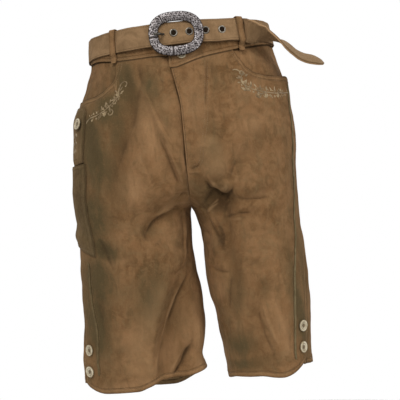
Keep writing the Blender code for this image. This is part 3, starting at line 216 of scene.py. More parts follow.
# Creases too fine for the solids, as folds are: each a narrow ridge, or a narrow valley where negative.
CREASES = in_metres(Fold, 4, {
    ("right", "front"): [
        (-3, 6, 10, [(-79, -56), (-76, -75), (-73, -100), (-80, -117), (-86, -130)]),
        (-2.2, 5, 5, [(-42, -65), (-39, -90), (-36, -119)]),
        (3, 4, 3.5, [(-75, -100), (-63, -130), (-50, -170), (-39, -199), (-28, -226)]),
        (-3, 4, 4, [(-65, -112), (-53, -148), (-41, -181), (-29, -206)]),
        (-2.6, 10, 2.8, [(-83, -113), (-86, -141), (-94, -168), (-107, -195), (-120, -219), (-130, -241),
         (-140, -268)]),
        (-4, 4.2, 2.6, [(-52, -194), (-41, -222), (-34, -247), (-27, -269), (-21, -290)]),
        (3.4, 3, 4, [(-43, -205), (-33, -230), (-24, -259), (-17, -287)]),
        (4, 6, 4, [(-6, -311), (-28, -319), (-48, -327), (-64, -332), (-79, -340)]),
        (-4.6, 3, 4.5, [(-10, -315), (-32, -324), (-50, -332), (-67, -338), (-78, -345), (-87, -357),
         (-95, -370)]),
        (-3, 3, 3, [(-24, -302), (-15, -298), (-9, -297)]),
        (-2.4, 3, 3, [(-89, -347), (-96, -361), (-92, -372), (-84, -380)]),
        (-2.4, 3, 3, [(-75, -378), (-69, -388)]),
        (-3.4, 2.6, 2.6, [(-25, -324), (-26, -348), (-28, -373), (-32, -406)]),
        (3, 3, 3, [(-21, -319), (-22, -348), (-26, -381), (-31, -421)]),
        (-3.6, 3, 3, [(-14, -318), (-15, -349), (-19, -382), (-22, -415)]),
        (-4.6, 2.4, 3.6, [(-18, -434), (-28, -454), (-39, -476), (-49, -496), (-60, -515), (-73, -539)]),
        (4.6, 3.8, 2.6, [(-29, -450), (-44, -477), (-59, -500), (-71, -524), (-82, -549), (-91, -573),
         (-98, -602), (-104, -627)]),
        (-3.6, 4, 2.6, [(-72, -520), (-81, -541), (-90, -566), (-101, -594)]),
        (-2.8, 3, 4, [(-77, -553), (-86, -574), (-93, -595), (-99, -624)]),
        (-5.6, 2.6, 3.2, [(-32, -568), (-38, -586), (-46, -603), (-56, -615), (-68, -626)]),
        (3, 5, 3, [(-41, -570), (-50, -591), (-61, -607), (-73, -620)]),
        (-1.8, 3, 3, [(-27, -539), (-30, -574), (-37, -605)]),
        (-2.2, 6, 6, [(-185, -451), (-186, -482), (-188, -514)]),
        (-1.6, 5, 5, [(-147, -288), (-149, -320), (-152, -352)]),
        (-3.4, 5, 6, [(-179, -360), (-170, -379), (-165, -401), (-157, -424)]),
    ],
    ("right", "back"): [
        (-2.6, 6, 6, [(-22, -318), (-60, -332), (-110, -340)]),
        (-2.4, 6, 6, [(-60, -352), (-100, -372), (-150, -384)]),
        (-2, 7, 6, [(-60, -430), (-90, -462), (-130, -480)]),
        (-2.2, 7, 6, [(-75, -520), (-100, -560), (-106, -620)]),
        (-1.8, 8, 6, [(-30, -70), (-36, -120), (-32, -170)]),
    ],
    ("left", "front"): [
        (1.2, 3, 3, [(12, -110), (12, -155), (12, -207)]),
        (-3, 2.5, 2.5, [(44, -62), (44, -80), (42, -102), (38, -126), (33, -157)]),
        (-1.8, 3, 3, [(62, -114), (59, -142), (58, -173)]),
        (-2.2, 3, 3, [(54, -70), (54, -88), (52, -110)]),
        (-6.8, 3.6, 4, [(21, -274), (26, -290), (33, -303), (42, -313), (55, -313), (64, -304), (72, -289),
         ]),
        (3.4, 6, 5, [(27, -271), (36, -289), (43, -300), (54, -298), (66, -282)]),
        (-3, 3, 3, [(58, -298), (65, -278), (72, -261), (82, -248)]),
        (2, 4, 4, [(64, -301), (73, -288), (80, -269)]),
        (-3, 2.4, 2.4, [(-4, -258), (6, -254), (16, -249)]),
        (2.4, 2.2, 2.2, [(-6, -261), (5, -261), (17, -261)]),
        (-3, 4, 4, [(30, -299), (21, -310), (11, -322)]),
        (-3.4, 5, 5, [(55, -309), (50, -326), (43, -343)]),
        (4, 3, 3, [(38, -317), (27, -327), (17, -335)]),
        (-2.4, 2.5, 2.5, [(6, -322), (15, -328), (21, -332)]),
        (-3, 3, 3, [(67, -315), (89, -319), (114, -320), (136, -317)]),
        (-3.4, 3, 3, [(48, -349), (60, -346), (78, -343), (99, -343)]),
        (2.4, 3, 3, [(49, -354), (62, -352), (79, -350)]),
        (-4, 3, 3, [(30, -336), (35, -353), (40, -375), (40, -397)]),
        (-3.4, 3, 3, [(21, -337), (28, -356), (36, -382), (42, -408)]),
        (-4, 3, 3, [(5, -365), (16, -370), (22, -380)]),
        (-3, 3, 5, [(14, -431), (25, -440), (39, -445), (48, -444)]),
        (-3.4, 3, 5, [(49, -448), (45, -476), (41, -517)]),
        (-2.2, 4, 4, [(82, -475), (74, -496), (71, -517)]),
        (-2.6, 4, 5, [(93, -508), (94, -533), (100, -559), (110, -589), (116, -615)]),
        (-2.4, 4, 4, [(110, -417), (96, -430), (81, -439)]),
        (2.4, 4, 4, [(100, -501), (105, -531), (114, -560), (124, -590)]),
        (-2.2, 4, 4, [(148, -558), (143, -583), (144, -608)]),
        (-2, 4, 4, [(65, -317), (52, -344), (52, -379)]),
    ],
    ("left", "back"): [
        (-2.6, 6, 6, [(6, -318), (44, -332), (94, -340)]),
        (-2.4, 6, 6, [(44, -352), (84, -372), (134, -384)]),
        (-2, 7, 6, [(50, -430), (80, -466), (120, -486)]),
        (-2.2, 7, 6, [(100, -520), (88, -566), (92, -620)]),
        (-1.8, 8, 6, [(18, -70), (22, -120), (16, -170)]),
    ],
})

# Patches where the suede is stained or worn, and patches of painted light and shade, as seen from the face
# named. lean, in degrees, turns the top towards +X.
StainAndPaintedLight = namedtuple("StainAndPaintedLight", "x z wide high lean strength")
STAINS_AND_PAINTED_LIGHT = in_metres(StainAndPaintedLight, 4, {
    ("olive", "front"): [
        (-136, -136, 39, 33, -6, 1.15), (-94, -79, 14, 31, -6, 0.6), (-100, -104, 21, 52, -6, 1.15),
        (-121, -168, 19, 49, 8, 0.85), (-173, -204, 27, 92, -6, 1.2), (-148, -242, 25, 63, -6, 0.75),
        (-180, -321, 28, 60, -6, 1), (-170, -381, 21, 29, -36, 1.2), (-189, -440, 31, 51, -6, 1.2),
        (-202, -517, 29, 80, -6, 1.1), (-98, -477, 29, 50, 14, 0.95), (-136, -462, 29, 18, -6, 0.45),
        (-85, -357, 16, 11, -6, 0.5), (-58, -106, 16, 35, -6, 0.85), (-40, -153, 7, 45, -20, 0.35),
        (-169, -569, 33, 14, -6, 0.35), (-229, -607, 15, 26, -6, 0.55), (-52, -520, 18, 22, -6, 0.35),
        (11, -290, 21, 18, -6, 0.5), (34, -306, 28, 23, -6, 0.8), (42, -224, 16, 45, -6, 0.5),
        (57, -480, 16, 53, 2, 0.55), (54, -579, 32, 27, -6, 0.85), (109, -481, 14, 16, -6, 0.3),
        (96, -431, 18, 7, 19, 0.35), (156, -469, 7, 89, -6, 0.45), (168, -526, 13, 108, -6, 1.1),
        (186, -329, 9, 110, -6, 0.35), (62, -612, 47, 14, -6, 0.8), (34, -532, 15, 29, -6, 0.35),
        (55, -92, 12, 42, -6, 0.35), (182, -450, 13, 110, 0, 0.6),
    ],
    ("olive", "back"): [
        (-150, -250, 30, 120, 0, 0.5), (135, -330, 30, 120, 0, 0.5), (-100, -500, 40, 50, 0, 0.45),
    ],
    # Stains, and painted shade: the patches round the pouch at the crotch stand for the shade under it.
    ("dark", "front"): [
        (-94, -97, 9, 31, -6, 0.25), (-170, -383, 11, 14, -36, 0.35), (-95, -488, 14, 25, 14, 0.22),
        (42, -321, 14, 14, 4, 1.1), (21, -318, 7, 9, -6, 0.15), (56, -300, 7, 7, -6, 0.25),
        (76, -346, 21, 5, 6, 0.22), (40, -397, 9, 25, -30, 0.3), (61, -472, 9, 32, 2, 0.25),
        (-92, -137, 6, 31, -6, 0.34), (-115, -204, 7, 31, 18, 0.34), (-134, -251, 7, 24, 8, 0.28),
        (-169, -201, 9, 60, -6, 0.2), (-190, -495, 5, 44, -6, 0.3), (-146, -84, 25, 29, -6, 0.16),
        (16, -138, 10, 45, -6, 0.12),
    ],
    ("dark", "back"): [
        (-10, -320, 60, 20, 0, 0.6), (70, -480, 40, 40, 0, 0.35),
    ],
    # Wear, and painted light: the patches under the belt at the centre front, just below the waist seam on
    # the wearer's left, and low near the right leg's inner edge lift the shade there.
    ("light", "front"): [
        (-65, -185, 24, 45, -2, 0.55), (-94, -224, 17, 31, 4, 0.35), (-110, -278, 31, 35, -6, 0.6),
        (16, -62, 42, 10, 2, 0.55), (112, -188, 24, 21, -6, 0.45), (95, -232, 17, 16, -6, 0.35),
        (116, -124, 25, 16, -6, 0.35), (-144, -407, 21, 7, -6, 0.35), (-16, -375, 9, 59, -2, 0.5),
        (-74, -582, 20, 36, 18, 0.85), (-10, -253, 7, 35, -6, 0.45), (118, -311, 28, 7, -6, 0.35),
        (-161, -633, 62, 9, -6, 0.4), (134, -559, 12, 46, -14, 0.3), (24, -381, 9, 16, -26, 0.35),
        (-145, -549, 25, 22, -6, 0.3), (-43, -550, 18, 50, 0, 0.5), (29, -473, 11, 18, -6, 0.5),
        (16, -155, 12, 45, -6, 0.25), (128, -64, 20, 14, 0, 0.45), (-18, -560, 12, 60, 0, 0.6),
        (164, -71, 15, 25, -6, 0.3), (83, -196, 10, 24, -6, 0.2),
    ],
    ("light", "back"): [
        (-80, -200, 50, 60, 0, 0.6), (64, -200, 50, 60, 0, 0.6), (100, -580, 40, 40, 0, 0.4),
    ],
})
STAIN_AND_PAINTED_LIGHT_KINDS = ("olive", "dark", "light")


def smooth_step(low, high, value):
    share = np.clip((np.asarray(value, float) - low) / (high - low), 0.0, 1.0)
    return share * share * (3 - 2 * share)


def unit(vectors):
    return vectors / np.maximum(np.linalg.norm(vectors, axis=-1, keepdims=True), 1e-12)


def distances_along(points):
    """How far along a path each of its points is."""
    return np.concatenate([[0], np.cumsum(np.linalg.norm(np.diff(points, axis=0), axis=1))])


def curve_through(knots, where):
    """A smooth curve through knots, which are pairs of a place and a value, read at where."""
    x, y = np.array(sorted(map(tuple, knots)), float).T
    slopes = np.diff(y) / np.diff(x)
    product, total = slopes[:-1] * slopes[1:], slopes[:-1] + slopes[1:]
    # Monotone tangents: flat where the value turns, so that the curve never overshoots its knots.
    inner = np.where(product > 0, 2 * product / np.where(total == 0, 1, total), 0.0)
    tangents = np.concatenate([[slopes[0]], inner, [slopes[-1]]])
    where = np.clip(np.asarray(where, float), x[0], x[-1])
    i = np.clip(np.searchsorted(x, where, side="right") - 1, 0, len(x) - 2)
    width = x[i + 1] - x[i]
    t = (where - x[i]) / width
    return (
        (1 + 2 * t) * (1 - t) ** 2 * y[i]
        + t * (1 - t) ** 2 * width * tangents[i]
        + t * t * (3 - 2 * t) * y[i + 1]
        + t * t * (t - 1) * width * tangents[i + 1]
    )


def fold_height(fold, x, z, power):
    """How far one fold moves the cloth at x, z, both arrays. power 2 is a round fold, 1 has a sharp top."""
    before = distances_along(fold.route)
    nearest = np.full(np.shape(x), np.inf)
    height = np.zeros(np.shape(x))
    for start, end, run, length in zip(fold.route[:-1], fold.route[1:], before, np.diff(before)):
        along = (end - start) / length
        reach = np.clip((x - start[0]) * along[0] + (z - start[1]) * along[1], 0, length)
        off_x = x - start[0] - reach * along[0]
        off_z = z - start[1] - reach * along[1]
        away = np.hypot(off_x, off_z)
        # Towards +X of a route that runs down, or above one that runs across.
        side = off_x * -along[1] + off_z * along[0]
        width = np.where(side > 0, fold.high, fold.low)
        share = (run + reach) / before[-1]
        ends = smooth_step(-0.10, 0.25, share) * smooth_step(1.10, 0.75, share)
        here = fold.height * np.exp(-((away / width) ** power)) * ends
        height = np.where(away < nearest, here, height)
        nearest = np.minimum(nearest, away)
    return height


RIPPLE_COUNT = 16
RIPPLE_LENGTHS = (0.014, 0.048)  # from one ripple to the next
RIPPLE_HEIGHT = 0.00022  # of each train of ripples, of which several meet everywhere


def ripples(grid):
    """The small unevenness of used suede: trains of ripples that cross one another."""
    seed = np.random.default_rng(11)
    height = np.zeros(grid.shape[:2])
    for _ in range(RIPPLE_COUNT):
        length = seed.uniform(*RIPPLE_LENGTHS)
        way = seed.normal(size=3)
        way /= np.linalg.norm(way)
        phase = seed.uniform(0, 2 * math.pi)
        share = length / RIPPLE_LENGTHS[1]
        height += RIPPLE_HEIGHT * share * np.sin(grid @ way * 2 * math.pi / length + phase)
    return height


ROUND, SHARP = 2.0, 1.25  # the power of the folds' and of the creases' heights


class Skin:
    """The outer face of the cloth on one leg and its half of the seat, as a lattice of points.

    across is 0 on the side line, 1 at the centre front or inseam, -1 at the centre back or inseam.
    """

    TOP, BOTTOM, STEP = 0.016, -0.668, 0.0015
    HALF = 210  # lattice columns on each face
    OVAL_POINTS = 400  # for each face of one section

    def __init__(self, leg):
        self.leg = leg
        self.towards = 1 if leg == "left" else -1
        self.heights = np.arange(self.TOP, self.BOTTOM, -self.STEP)
        self.grid = np.zeros((len(self.heights), 2 * self.HALF + 1, 3))
        self.lengths = {"front": np.zeros(len(self.heights)), "back": np.zeros(len(self.heights))}
        columns = [
            curve_through([(row.z, getattr(row, name)) for row in SECTIONS[leg]], self.heights)
            for name in Section._fields[1:]
        ]
        for row, section in enumerate(map(Section._make, zip(self.heights, *columns))):
            front, back = self.face_line(section, section.front), self.face_line(section, section.back)
            self.grid[row, : self.HALF + 1] = back[::-1]
            self.grid[row, self.HALF :] = front
            self.lengths["front"][row] = distances_along(front)[-1]
            self.lengths["back"][row] = distances_along(back)[-1]
        self.base_normals = self.normals_of(self.grid)
        self.fold = self.heights_of(FOLDS, ROUND)
        self.crease = self.heights_of(CREASES, SHARP) + ripples(self.grid)
        self.grid = self.grid + self.base_normals * (self.fold + self.crease)[..., None]
        self.normals = self.normals_of(self.grid)

    def face_line(self, section, face):
        """Points from the side line to the centre edge, evenly spaced along the cloth."""
        middle = (section.outer + section.inner) / 2
        half_width = abs(section.outer - section.inner) / 2
        plane = CENTRE_X - self.towards * PAST_CENTRE
        reach = np.clip((middle - plane) * self.towards / half_width, -1, 1)
        turn = math.pi
        if section.z >= FORK_Z:
            turn = math.acos(-math.copysign(abs(reach) ** (section.power / 2), reach))
        angle = np.linspace(0, turn, self.OVAL_POINTS)
        squash = 2 / section.power
        cosine = np.cos(angle)
        x = middle + self.towards * half_width * np.sign(cosine) * np.abs(cosine) ** squash
        y = section.side + (face - section.side) * np.abs(np.sin(angle)) ** squash
        line = np.stack([x, y, np.full(len(x), section.z)], axis=1)
        run = distances_along(line)
        even = np.linspace(0, run[-1], self.HALF + 1)
        return np.stack([np.interp(even, run, line[:, k]) for k in range(3)], axis=1)

    def normals_of(self, grid):
        """The lattice's normals, turned out of the cloth."""
        normal = unit(np.cross(np.gradient(grid, axis=0), np.gradient(grid, axis=1)))
        return normal * np.sign(normal[:, self.HALF, 0].mean() * self.towards)

    def heights_of(self, folds, power):
        x, z = self.grid[..., 0], self.grid[..., 2]
        height = np.zeros(x.shape)
        for face, outward in (("front", -1), ("back", 1)):
            facing = smooth_step(0.05, 0.55, outward * self.base_normals[..., 1])
            for fold in folds[self.leg, face]:
                height += fold_height(fold, x, z, power) * facing
        return height

    def length(self, z, face):
        """Length of the cloth from the side line to the centre edge at height z."""
        return np.interp(-np.asarray(z, float), -self.heights, self.lengths[face])

    def across(self, distance, z):
        """across for a distance along the cloth in front of the side line, or behind it if negative."""
        distance = np.asarray(distance, float)
        return distance / np.where(distance >= 0, self.length(z, "front"), self.length(z, "back"))

    def read(self, lattice, across, z):
        """The lattice's value at across and z, between its points."""
        row = np.clip((self.TOP - z) / self.STEP, 0, len(self.heights) - 1.001)
        column = np.clip((across + 1) * self.HALF, 0, 2 * self.HALF - 0.001)
        i, j = row.astype(int), column.astype(int)
        f, g = row - i, column - j
        if lattice.ndim == 3:
            f, g = f[..., None], g[..., None]
        upper = lattice[i, j] * (1 - g) + lattice[i, j + 1] * g
        lower = lattice[i + 1, j] * (1 - g) + lattice[i + 1, j + 1] * g
        return upper * (1 - f) + lower * f

    def at(self, across, z, out=0.0):
        """Points out of the cloth by that distance, and the normals there."""
        across, z, out = np.broadcast_arrays(*(np.asarray(value, float) for value in (across, z, out)))
        normal = unit(self.read(self.normals, across, z))
        return self.read(self.grid, across, z) + normal * out[..., None], normal


# ---------------------------------------------------------------- meshes

BODY = "root"


def add_piece(name, points, faces, finish, replaces=(), sharp=40, marks=None):
    """One piece of the object. marks are numbers or vectors for each point, which the finishes read."""
    mesh = bpy.data.meshes.new(name)
    mesh.from_pydata(np.asarray(points, float).reshape(-1, 3).tolist(), [], faces)
    for mark, values in (marks or {}).items():
        values = np.asarray(values, np.float32)
        kind, field = ("FLOAT_VECTOR", "vector") if values.ndim == 2 else ("FLOAT", "value")
        mesh.attributes.new(mark, kind, "POINT").data.foreach_set(field, values.ravel())
    made = bmesh.new()
    made.from_mesh(mesh)
    bmesh.ops.recalc_face_normals(made, faces=made.faces)
    made.to_mesh(mesh)
    made.free()
    mesh.shade_smooth()
    mesh.set_sharp_from_angle(angle=math.radians(sharp))
    mesh.materials.append(finish)
    piece = bpy.data.objects.new(name, mesh)
    bpy.context.scene.collection.objects.link(piece)
    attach(piece, BODY)
    if replaces:
        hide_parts(*replaces)
    return piece


def grid_faces(rows, columns, start=0, closed=False):
    """The quads of a grid of points, and of its wrap round where it is closed."""
    i, j = np.meshgrid(np.arange(rows - 1), np.arange(columns if closed else columns - 1), indexing="ij")
    here, beside = i * columns + j, i * columns + (j + 1) % columns
    quads = np.stack([here, beside, beside + columns, here + columns], axis=-1)
    return (quads.reshape(-1, 4) + start).tolist()


def tube_faces(rings, sides):
    """The faces of a tube of rings, and both its ends."""
    count = rings * sides
    ends = [list(range(sides))[::-1], list(range(count - sides, count))]
    return grid_faces(rings, sides, closed=True) + ends


def ring_faces(rings, sides):
    """The faces of a tube that runs round into its own beginning."""
    return (np.array(grid_faces(rings + 1, sides, closed=True)) % (rings * sides)).tolist()


def wall_faces(rows, columns):
    """The faces of a closed wall between two grids, the second one after the first."""
    behind = rows * columns
    faces = grid_faces(rows, columns) + [face[::-1] for face in grid_faces(rows, columns, behind)]
    rim = [i * columns for i in range(rows)] + [(rows - 1) * columns + j for j in range(1, columns)]
    rim += [i * columns + columns - 1 for i in range(rows - 2, -1, -1)] + list(range(columns - 2, 0, -1))
    return faces + [[a, b, b + behind, a + behind] for a, b in zip(rim, rim[1:] + rim[:1])]


class Pile:
    """Many small shapes gathered into one piece."""

    def __init__(self):
        self.points, self.faces, self.count = [], [], 0

    def add(self, points, faces):
        points = np.asarray(points, float).reshape(-1, 3)
        self.faces += [[corner + self.count for corner in face] for face in faces]
        self.points.append(points)
        self.count += len(points)

    def piece(self, name, finish, slot, replaces=(), sharp=60):
        return add_piece(name, np.concatenate(self.points), self.faces, finish, replaces, sharp)


# ---------------------------------------------------------------- stains, and the cloth's pieces


def stain_and_painted_light_at(points, normals):
    """How much of each kind of patch there is at each point, stains and painted light and shade: olive,
    dark and light.
    """
    stain = np.zeros(points.shape)
    facing = {
        "front": smooth_step(-0.25, 0.35, -normals[..., 1]),
        "back": smooth_step(-0.25, 0.35, normals[..., 1]),
    }
    for (kind, face), patches in STAINS_AND_PAINTED_LIGHT.items():
        shown = stain[..., STAIN_AND_PAINTED_LIGHT_KINDS.index(kind)]
        for patch in patches:
            off_x, off_z = points[..., 0] - patch.x, points[..., 2] - patch.z
            cosine, sine = math.cos(math.radians(patch.lean)), math.sin(math.radians(patch.lean))
            beside = (off_x * cosine - off_z * sine) / patch.wide
            above = (off_x * sine + off_z * cosine) / patch.high
            shown[...] = np.maximum(shown, patch.strength * np.exp(-(beside**2) - above**2) * facing[face])
    return stain


# The seam mark also carries painted shadow lines: under the fly's edge and along the pocket's mouth.
SEAM_FAR = 10.0  # the mark for a seam is this at the seam, and falls to 0 this many millimetres away


def cloth(name, skin, across, z, outer, inner, edge, seam_and_shadow_line, finish, replaces):
    """A wall of suede. edge is the distance to the nearest turned edge; the seam distance is to the nearest
    of the plain seams and the painted shadow lines under lapped edges.
    """
    rows, columns = outer.shape[:2]
    _, normals = skin.at(across, z)
    seam_and_shadow_nearness = np.clip(SEAM_FAR - np.broadcast_to(seam_and_shadow_line, z.shape) * 1000, 0, None)
    marks = {
        "edge": np.tile(edge.ravel() * 1000, 2),
        "seam_and_shadow_line": np.tile(seam_and_shadow_nearness.ravel(), 2),
        "fold": np.tile(skin.read(skin.fold, across, z).ravel() * 1000, 2),
        "crease": np.tile(skin.read(skin.crease, across, z).ravel() * 1000, 2),
        "stain": np.tile(stain_and_painted_light_at(outer, normals).reshape(-1, 3), (2, 1)),
        "inside": np.repeat([0.0, 1.0], rows * columns),
    }
    points = np.concatenate([outer.reshape(-1, 3), inner.reshape(-1, 3)])
    return add_piece(name, points, wall_faces(rows, columns), finish, replaces, 40, marks)


FRONT_COLUMNS, BACK_COLUMNS = 150, 110
ROWS_ABOVE, ROWS_BELOW = 138, 138
POCKET_STANDS = {"right": 0.0020, "left": 0.0070}  # how far the pocket's mouth stands off at the outseam
HEM_TURN = 0.013  # depth of the hem turned up inside, which thickens the cloth
HEM_THICKER = 0.0006


def outseam(skin, z):
    """Distance in front of the side line of the front panel's outer edge."""
    return curve_through(OUTSEAM[skin.leg], z) - PIPING_TO_LAP


def fly_reach(z):
    """How far past the centre the left side's edge lies: most at the waist, none below."""
    return FLY_REACH * smooth_step(-0.155, -0.050, z)


def panel_rows(top, hem):
    """Heights for a panel's grid: from its top edge to the fork, closer together there, then to the hem."""
    down = 1 - (1 - np.arange(ROWS_ABOVE + 1) / ROWS_ABOVE) ** 1.15
    over = top[None, :] + (FORK_Z - top)[None, :] * down[:, None]
    legs = np.arange(1, ROWS_BELOW + 1)[:, None] / ROWS_BELOW
    return np.concatenate([over, FORK_Z + (hem - FORK_Z)[None, :] * legs])


def vent_corner(leg, from_edge):
    """How much higher the hem is near the vent, where the corner is cut round."""
    return VENT[leg].rise * np.clip(1 - from_edge / VENT[leg].reach, 0, 1) ** 1.6


def stands_off(skin, distance, z):
    """How far the front panel stands out of the skin below the pocket's mouth, near the outseam."""
    mouth = curve_through(POCKET_EDGE[skin.leg], skin.across(distance, z))
    near = smooth_step(0.085, 0.030, distance - outseam(skin, z))
    return POCKET_STANDS[skin.leg] * near * smooth_step(0.055, 0.0, mouth - z)


def past_centre(skin, other, beyond, z, out):
    """Points at a distance past the centre front, on the other leg's skin where beyond is above zero."""
    own, _ = skin.at(np.minimum(1 + beyond / skin.length(z, "front"), 1), z, out)
    far, _ = other.at(np.minimum(1 - beyond / other.length(z, "front"), 1), z, out)
    return np.where((beyond > 0)[..., None], far, own)


def columns_between(knots, counts):
    """Columns of distances that pass through the knots, each gap split evenly into its count."""
    parts = [knots[0]]
    for start, end, count in zip(knots[:-1], knots[1:], counts):
        parts += [start + (end - start) * step / count for step in range(1, count + 1)]
    return np.concatenate(parts, axis=1)


def seam_at_waist(skin, across):
    """The height of the panels' seam with the waistband."""
    return curve_through(WAIST_SEAM[skin.leg], across) - WAIST_GAP


def hem_turned(over_hem):
    """How much thicker the cloth is near the hem, where it is turned up inside."""
    return HEM_THICKER * smooth_step(HEM_TURN + 0.001, HEM_TURN - 0.002, over_hem)


def below_line(line, z, run):
    """How far places are below a line across the cloth, measured square to the line."""
    return (line - z) / np.hypot(1, np.gradient(line, run))


PANEL_FITS = 5  # times that a panel's grid is laid out, each on the heights of the one before
FIRST_Z = -0.2  # all heights of the first of them
FAR = 1.0  # a distance from an edge too far to show
TUCK_EDGE = 0.002  # a tucked edge is fully sunk this far before it goes under the other piece
FLY_EDGE_NARROW = 3  # the fly's turned edge shows as this many times narrower than the hem's
PRESSED_OPEN = 0.0030  # the centre seam is pressed open, and its line as faint as if this much further off


def make_front(skin, other, finish):
    """From the centre front and inseam to the outseam, cut away along the pocket's edge."""
    leg = skin.leg
    under_fly = leg == "right"
    z = np.full((ROWS_ABOVE + ROWS_BELOW + 1, FRONT_COLUMNS + 1), FIRST_Z)
    for _ in range(PANEL_FITS):
        length = skin.length(z, "front")
        lap = LAP * smooth_step(FLY_END_Z, FLY_END_Z + 0.030, z)
        reach = fly_reach(z)
        edge = length - outseam(skin, z)
        if under_fly:
            knots = [GAP / 2 - lap, reach + TUCK_EDGE, reach + TUCK_RUN, edge]
            counts = [6, 6, FRONT_COLUMNS - 12]
        else:
            knots = [GAP / 2 - reach, edge]
            counts = [FRONT_COLUMNS]
        run = columns_between([knot[:, :1] for knot in knots[:-1]] + [edge[:, -1:]], counts)
        across = 1 - run / length
        seam_line = seam_at_waist(skin, across[0])
        mouth = curve_through(POCKET_EDGE[leg], across[0])
        cut = across[0] < POCKET_EDGE[leg][-1][0]
        top = np.where(cut, np.minimum(seam_line + SEWN_UP, mouth), seam_line + SEWN_UP)
        hem = curve_through(FRONT_HEM[leg], across[-1]) + vent_corner(leg, edge[-1] - run[-1])
        z = panel_rows(top, hem)
    over_hem = z - hem
    out = stands_off(skin, length - run, z)
    if under_fly:
        fly = smooth_step(FLY_END_Z - 0.050, FLY_END_Z - 0.012, z)
        out = out - TUCK * fly * (1 - smooth_step(reach + TUCK_EDGE, reach + TUCK_RUN, run))
    outer = past_centre(skin, other, -run, z, out + hem_turned(over_hem))
    inner = past_centre(skin, other, -run, z, out - SUEDE)
    below_mouth = np.where(cut, below_line(top, z, run[0]), FAR)
    on_fly = np.where((z > FLY_END_Z) & (not under_fly), FLY_EDGE_NARROW * (run + reach), FAR)
    sewn = np.minimum(np.minimum(over_hem, below_mouth), np.minimum(on_fly, edge - run))
    waist = np.where(cut, FAR, seam_line - z)
    # Under the fly, a painted shadow line along the left side's edge; below the fly, the centre seam's own
    # line, made faint.
    centre = np.where(z > FLY_END_Z, np.abs(run - reach) if under_fly else FAR, run + PRESSED_OPEN)
    seam_and_shadow_line = np.minimum(waist, centre)
    cloth("front_panel_" + leg, skin, across, z, outer, inner, sewn, seam_and_shadow_line, finish, ["front_" + leg])


def make_back(skin, finish):
    """From the outseam, where it lies under the front, to the centre back and inseam."""
    z = np.full((ROWS_ABOVE + ROWS_BELOW + 1, BACK_COLUMNS + 1), FIRST_Z)
    for _ in range(PANEL_FITS):
        edge = outseam(skin, z)
        end = GAP / 2 - skin.length(z, "back")
        knots = [edge[:, :1] + LAP, edge[:, :1], edge[:, :1] - TUCK_RUN, end[:, -1:]]
        distance = columns_between(knots, [4, 6, BACK_COLUMNS - 10])
        across = skin.across(distance, z)
        seam_line = seam_at_waist(skin, across[0])
        hem = curve_through(BACK_HEM[skin.leg], across[-1])
        z = panel_rows(seam_line + SEWN_UP, hem)
    over_hem = z - hem
    lap_starts = edge[:, :1] - TUCK_RUN
    tucked = TUCK * smooth_step(lap_starts, edge[:, :1], distance)
    turned = hem_turned(over_hem) * smooth_step(lap_starts, lap_starts - TUCK_RUN, distance)
    outer, _ = skin.at(across, z, turned - tucked)
    inner, _ = skin.at(across, z, -tucked - SUEDE)
    sewn = np.minimum(over_hem, np.where(z > FORK_Z, distance - end, FAR))
    seam_and_shadow_line = np.minimum(np.minimum(seam_line - z, distance - end), np.abs(edge - distance))
    cloth("back_panel_" + skin.leg, skin, across, z, outer, inner, sewn, seam_and_shadow_line, finish, ["back_" + skin.leg])


FACING_Z, FACING_END_Z = -0.08, -0.06  # heights at which the facing's width is measured
FACING_ACROSS = 0.60  # its far edge, under the front panel
FACING_ROWS = 26


def make_facing(skin, finish):
    """The piece behind the pocket's mouth, from the outseam to well under the front panel."""
    edge = outseam(skin, np.array(FACING_Z))
    far = FACING_ACROSS * skin.length(FACING_END_Z, "front")
    distance = np.concatenate([np.linspace(edge, edge + 0.040, 16), np.linspace(edge + 0.0425, far, 40)])
    level = skin.across(distance, FACING_Z)
    sunk = TUCK * smooth_step(edge + 0.010, edge + 0.021, distance)
    hidden = LAP * 1.3 * smooth_step(edge + 0.022, edge + 0.040, distance)
    seam_line = seam_at_waist(skin, level)
    top = seam_line + SEWN_UP
    mouth = curve_through(POCKET_EDGE[skin.leg], level)
    low = np.minimum(mouth + GAP - hidden, seam_line - 0.012)
    z = top + (low - top) * np.linspace(0, 1, FACING_ROWS)[:, None]
    across = np.broadcast_to(level, z.shape)
    outer, _ = skin.at(across, z, -sunk)
    inner, _ = skin.at(across, z, -sunk - SUEDE)
    # The waist seam's line, and a painted shadow line along the pocket's mouth, under the front panel's
    # edge.
    seam_and_shadow_line = np.minimum(seam_line - z, np.abs(below_line(mouth, z, distance)))
    cloth("pocket_facing_suede_" + skin.leg, skin, across, z, outer, inner, np.full(z.shape, FAR), seam_and_shadow_line,
          finish, ["pocket_facing_" + skin.leg])


BAND_ROWS = 22
BAND_LEVEL = -0.03  # the height at which distances along the waistband are measured
BAND_ROUND, BAND_ROUND_OVER = 0.0009, 0.0026  # how far its turned edges round off, and over what width
BAND_EDGE = 0.0042  # added to its distances from an edge, as it is less worn there than a hem


def band_lengths(skin):
    """The waistband's lengths: past the centre front, over the front, and over the back."""
    front, back = float(skin.length(BAND_LEVEL, "front")), float(skin.length(BAND_LEVEL, "back"))
    return float(fly_reach(np.array(BAND_LEVEL))), front, back


def band_across(skin, run):
    """across for distances along the waistband from the centre front."""
    return np.clip(skin.across(band_lengths(skin)[1] - run, BAND_LEVEL), -1, 1)


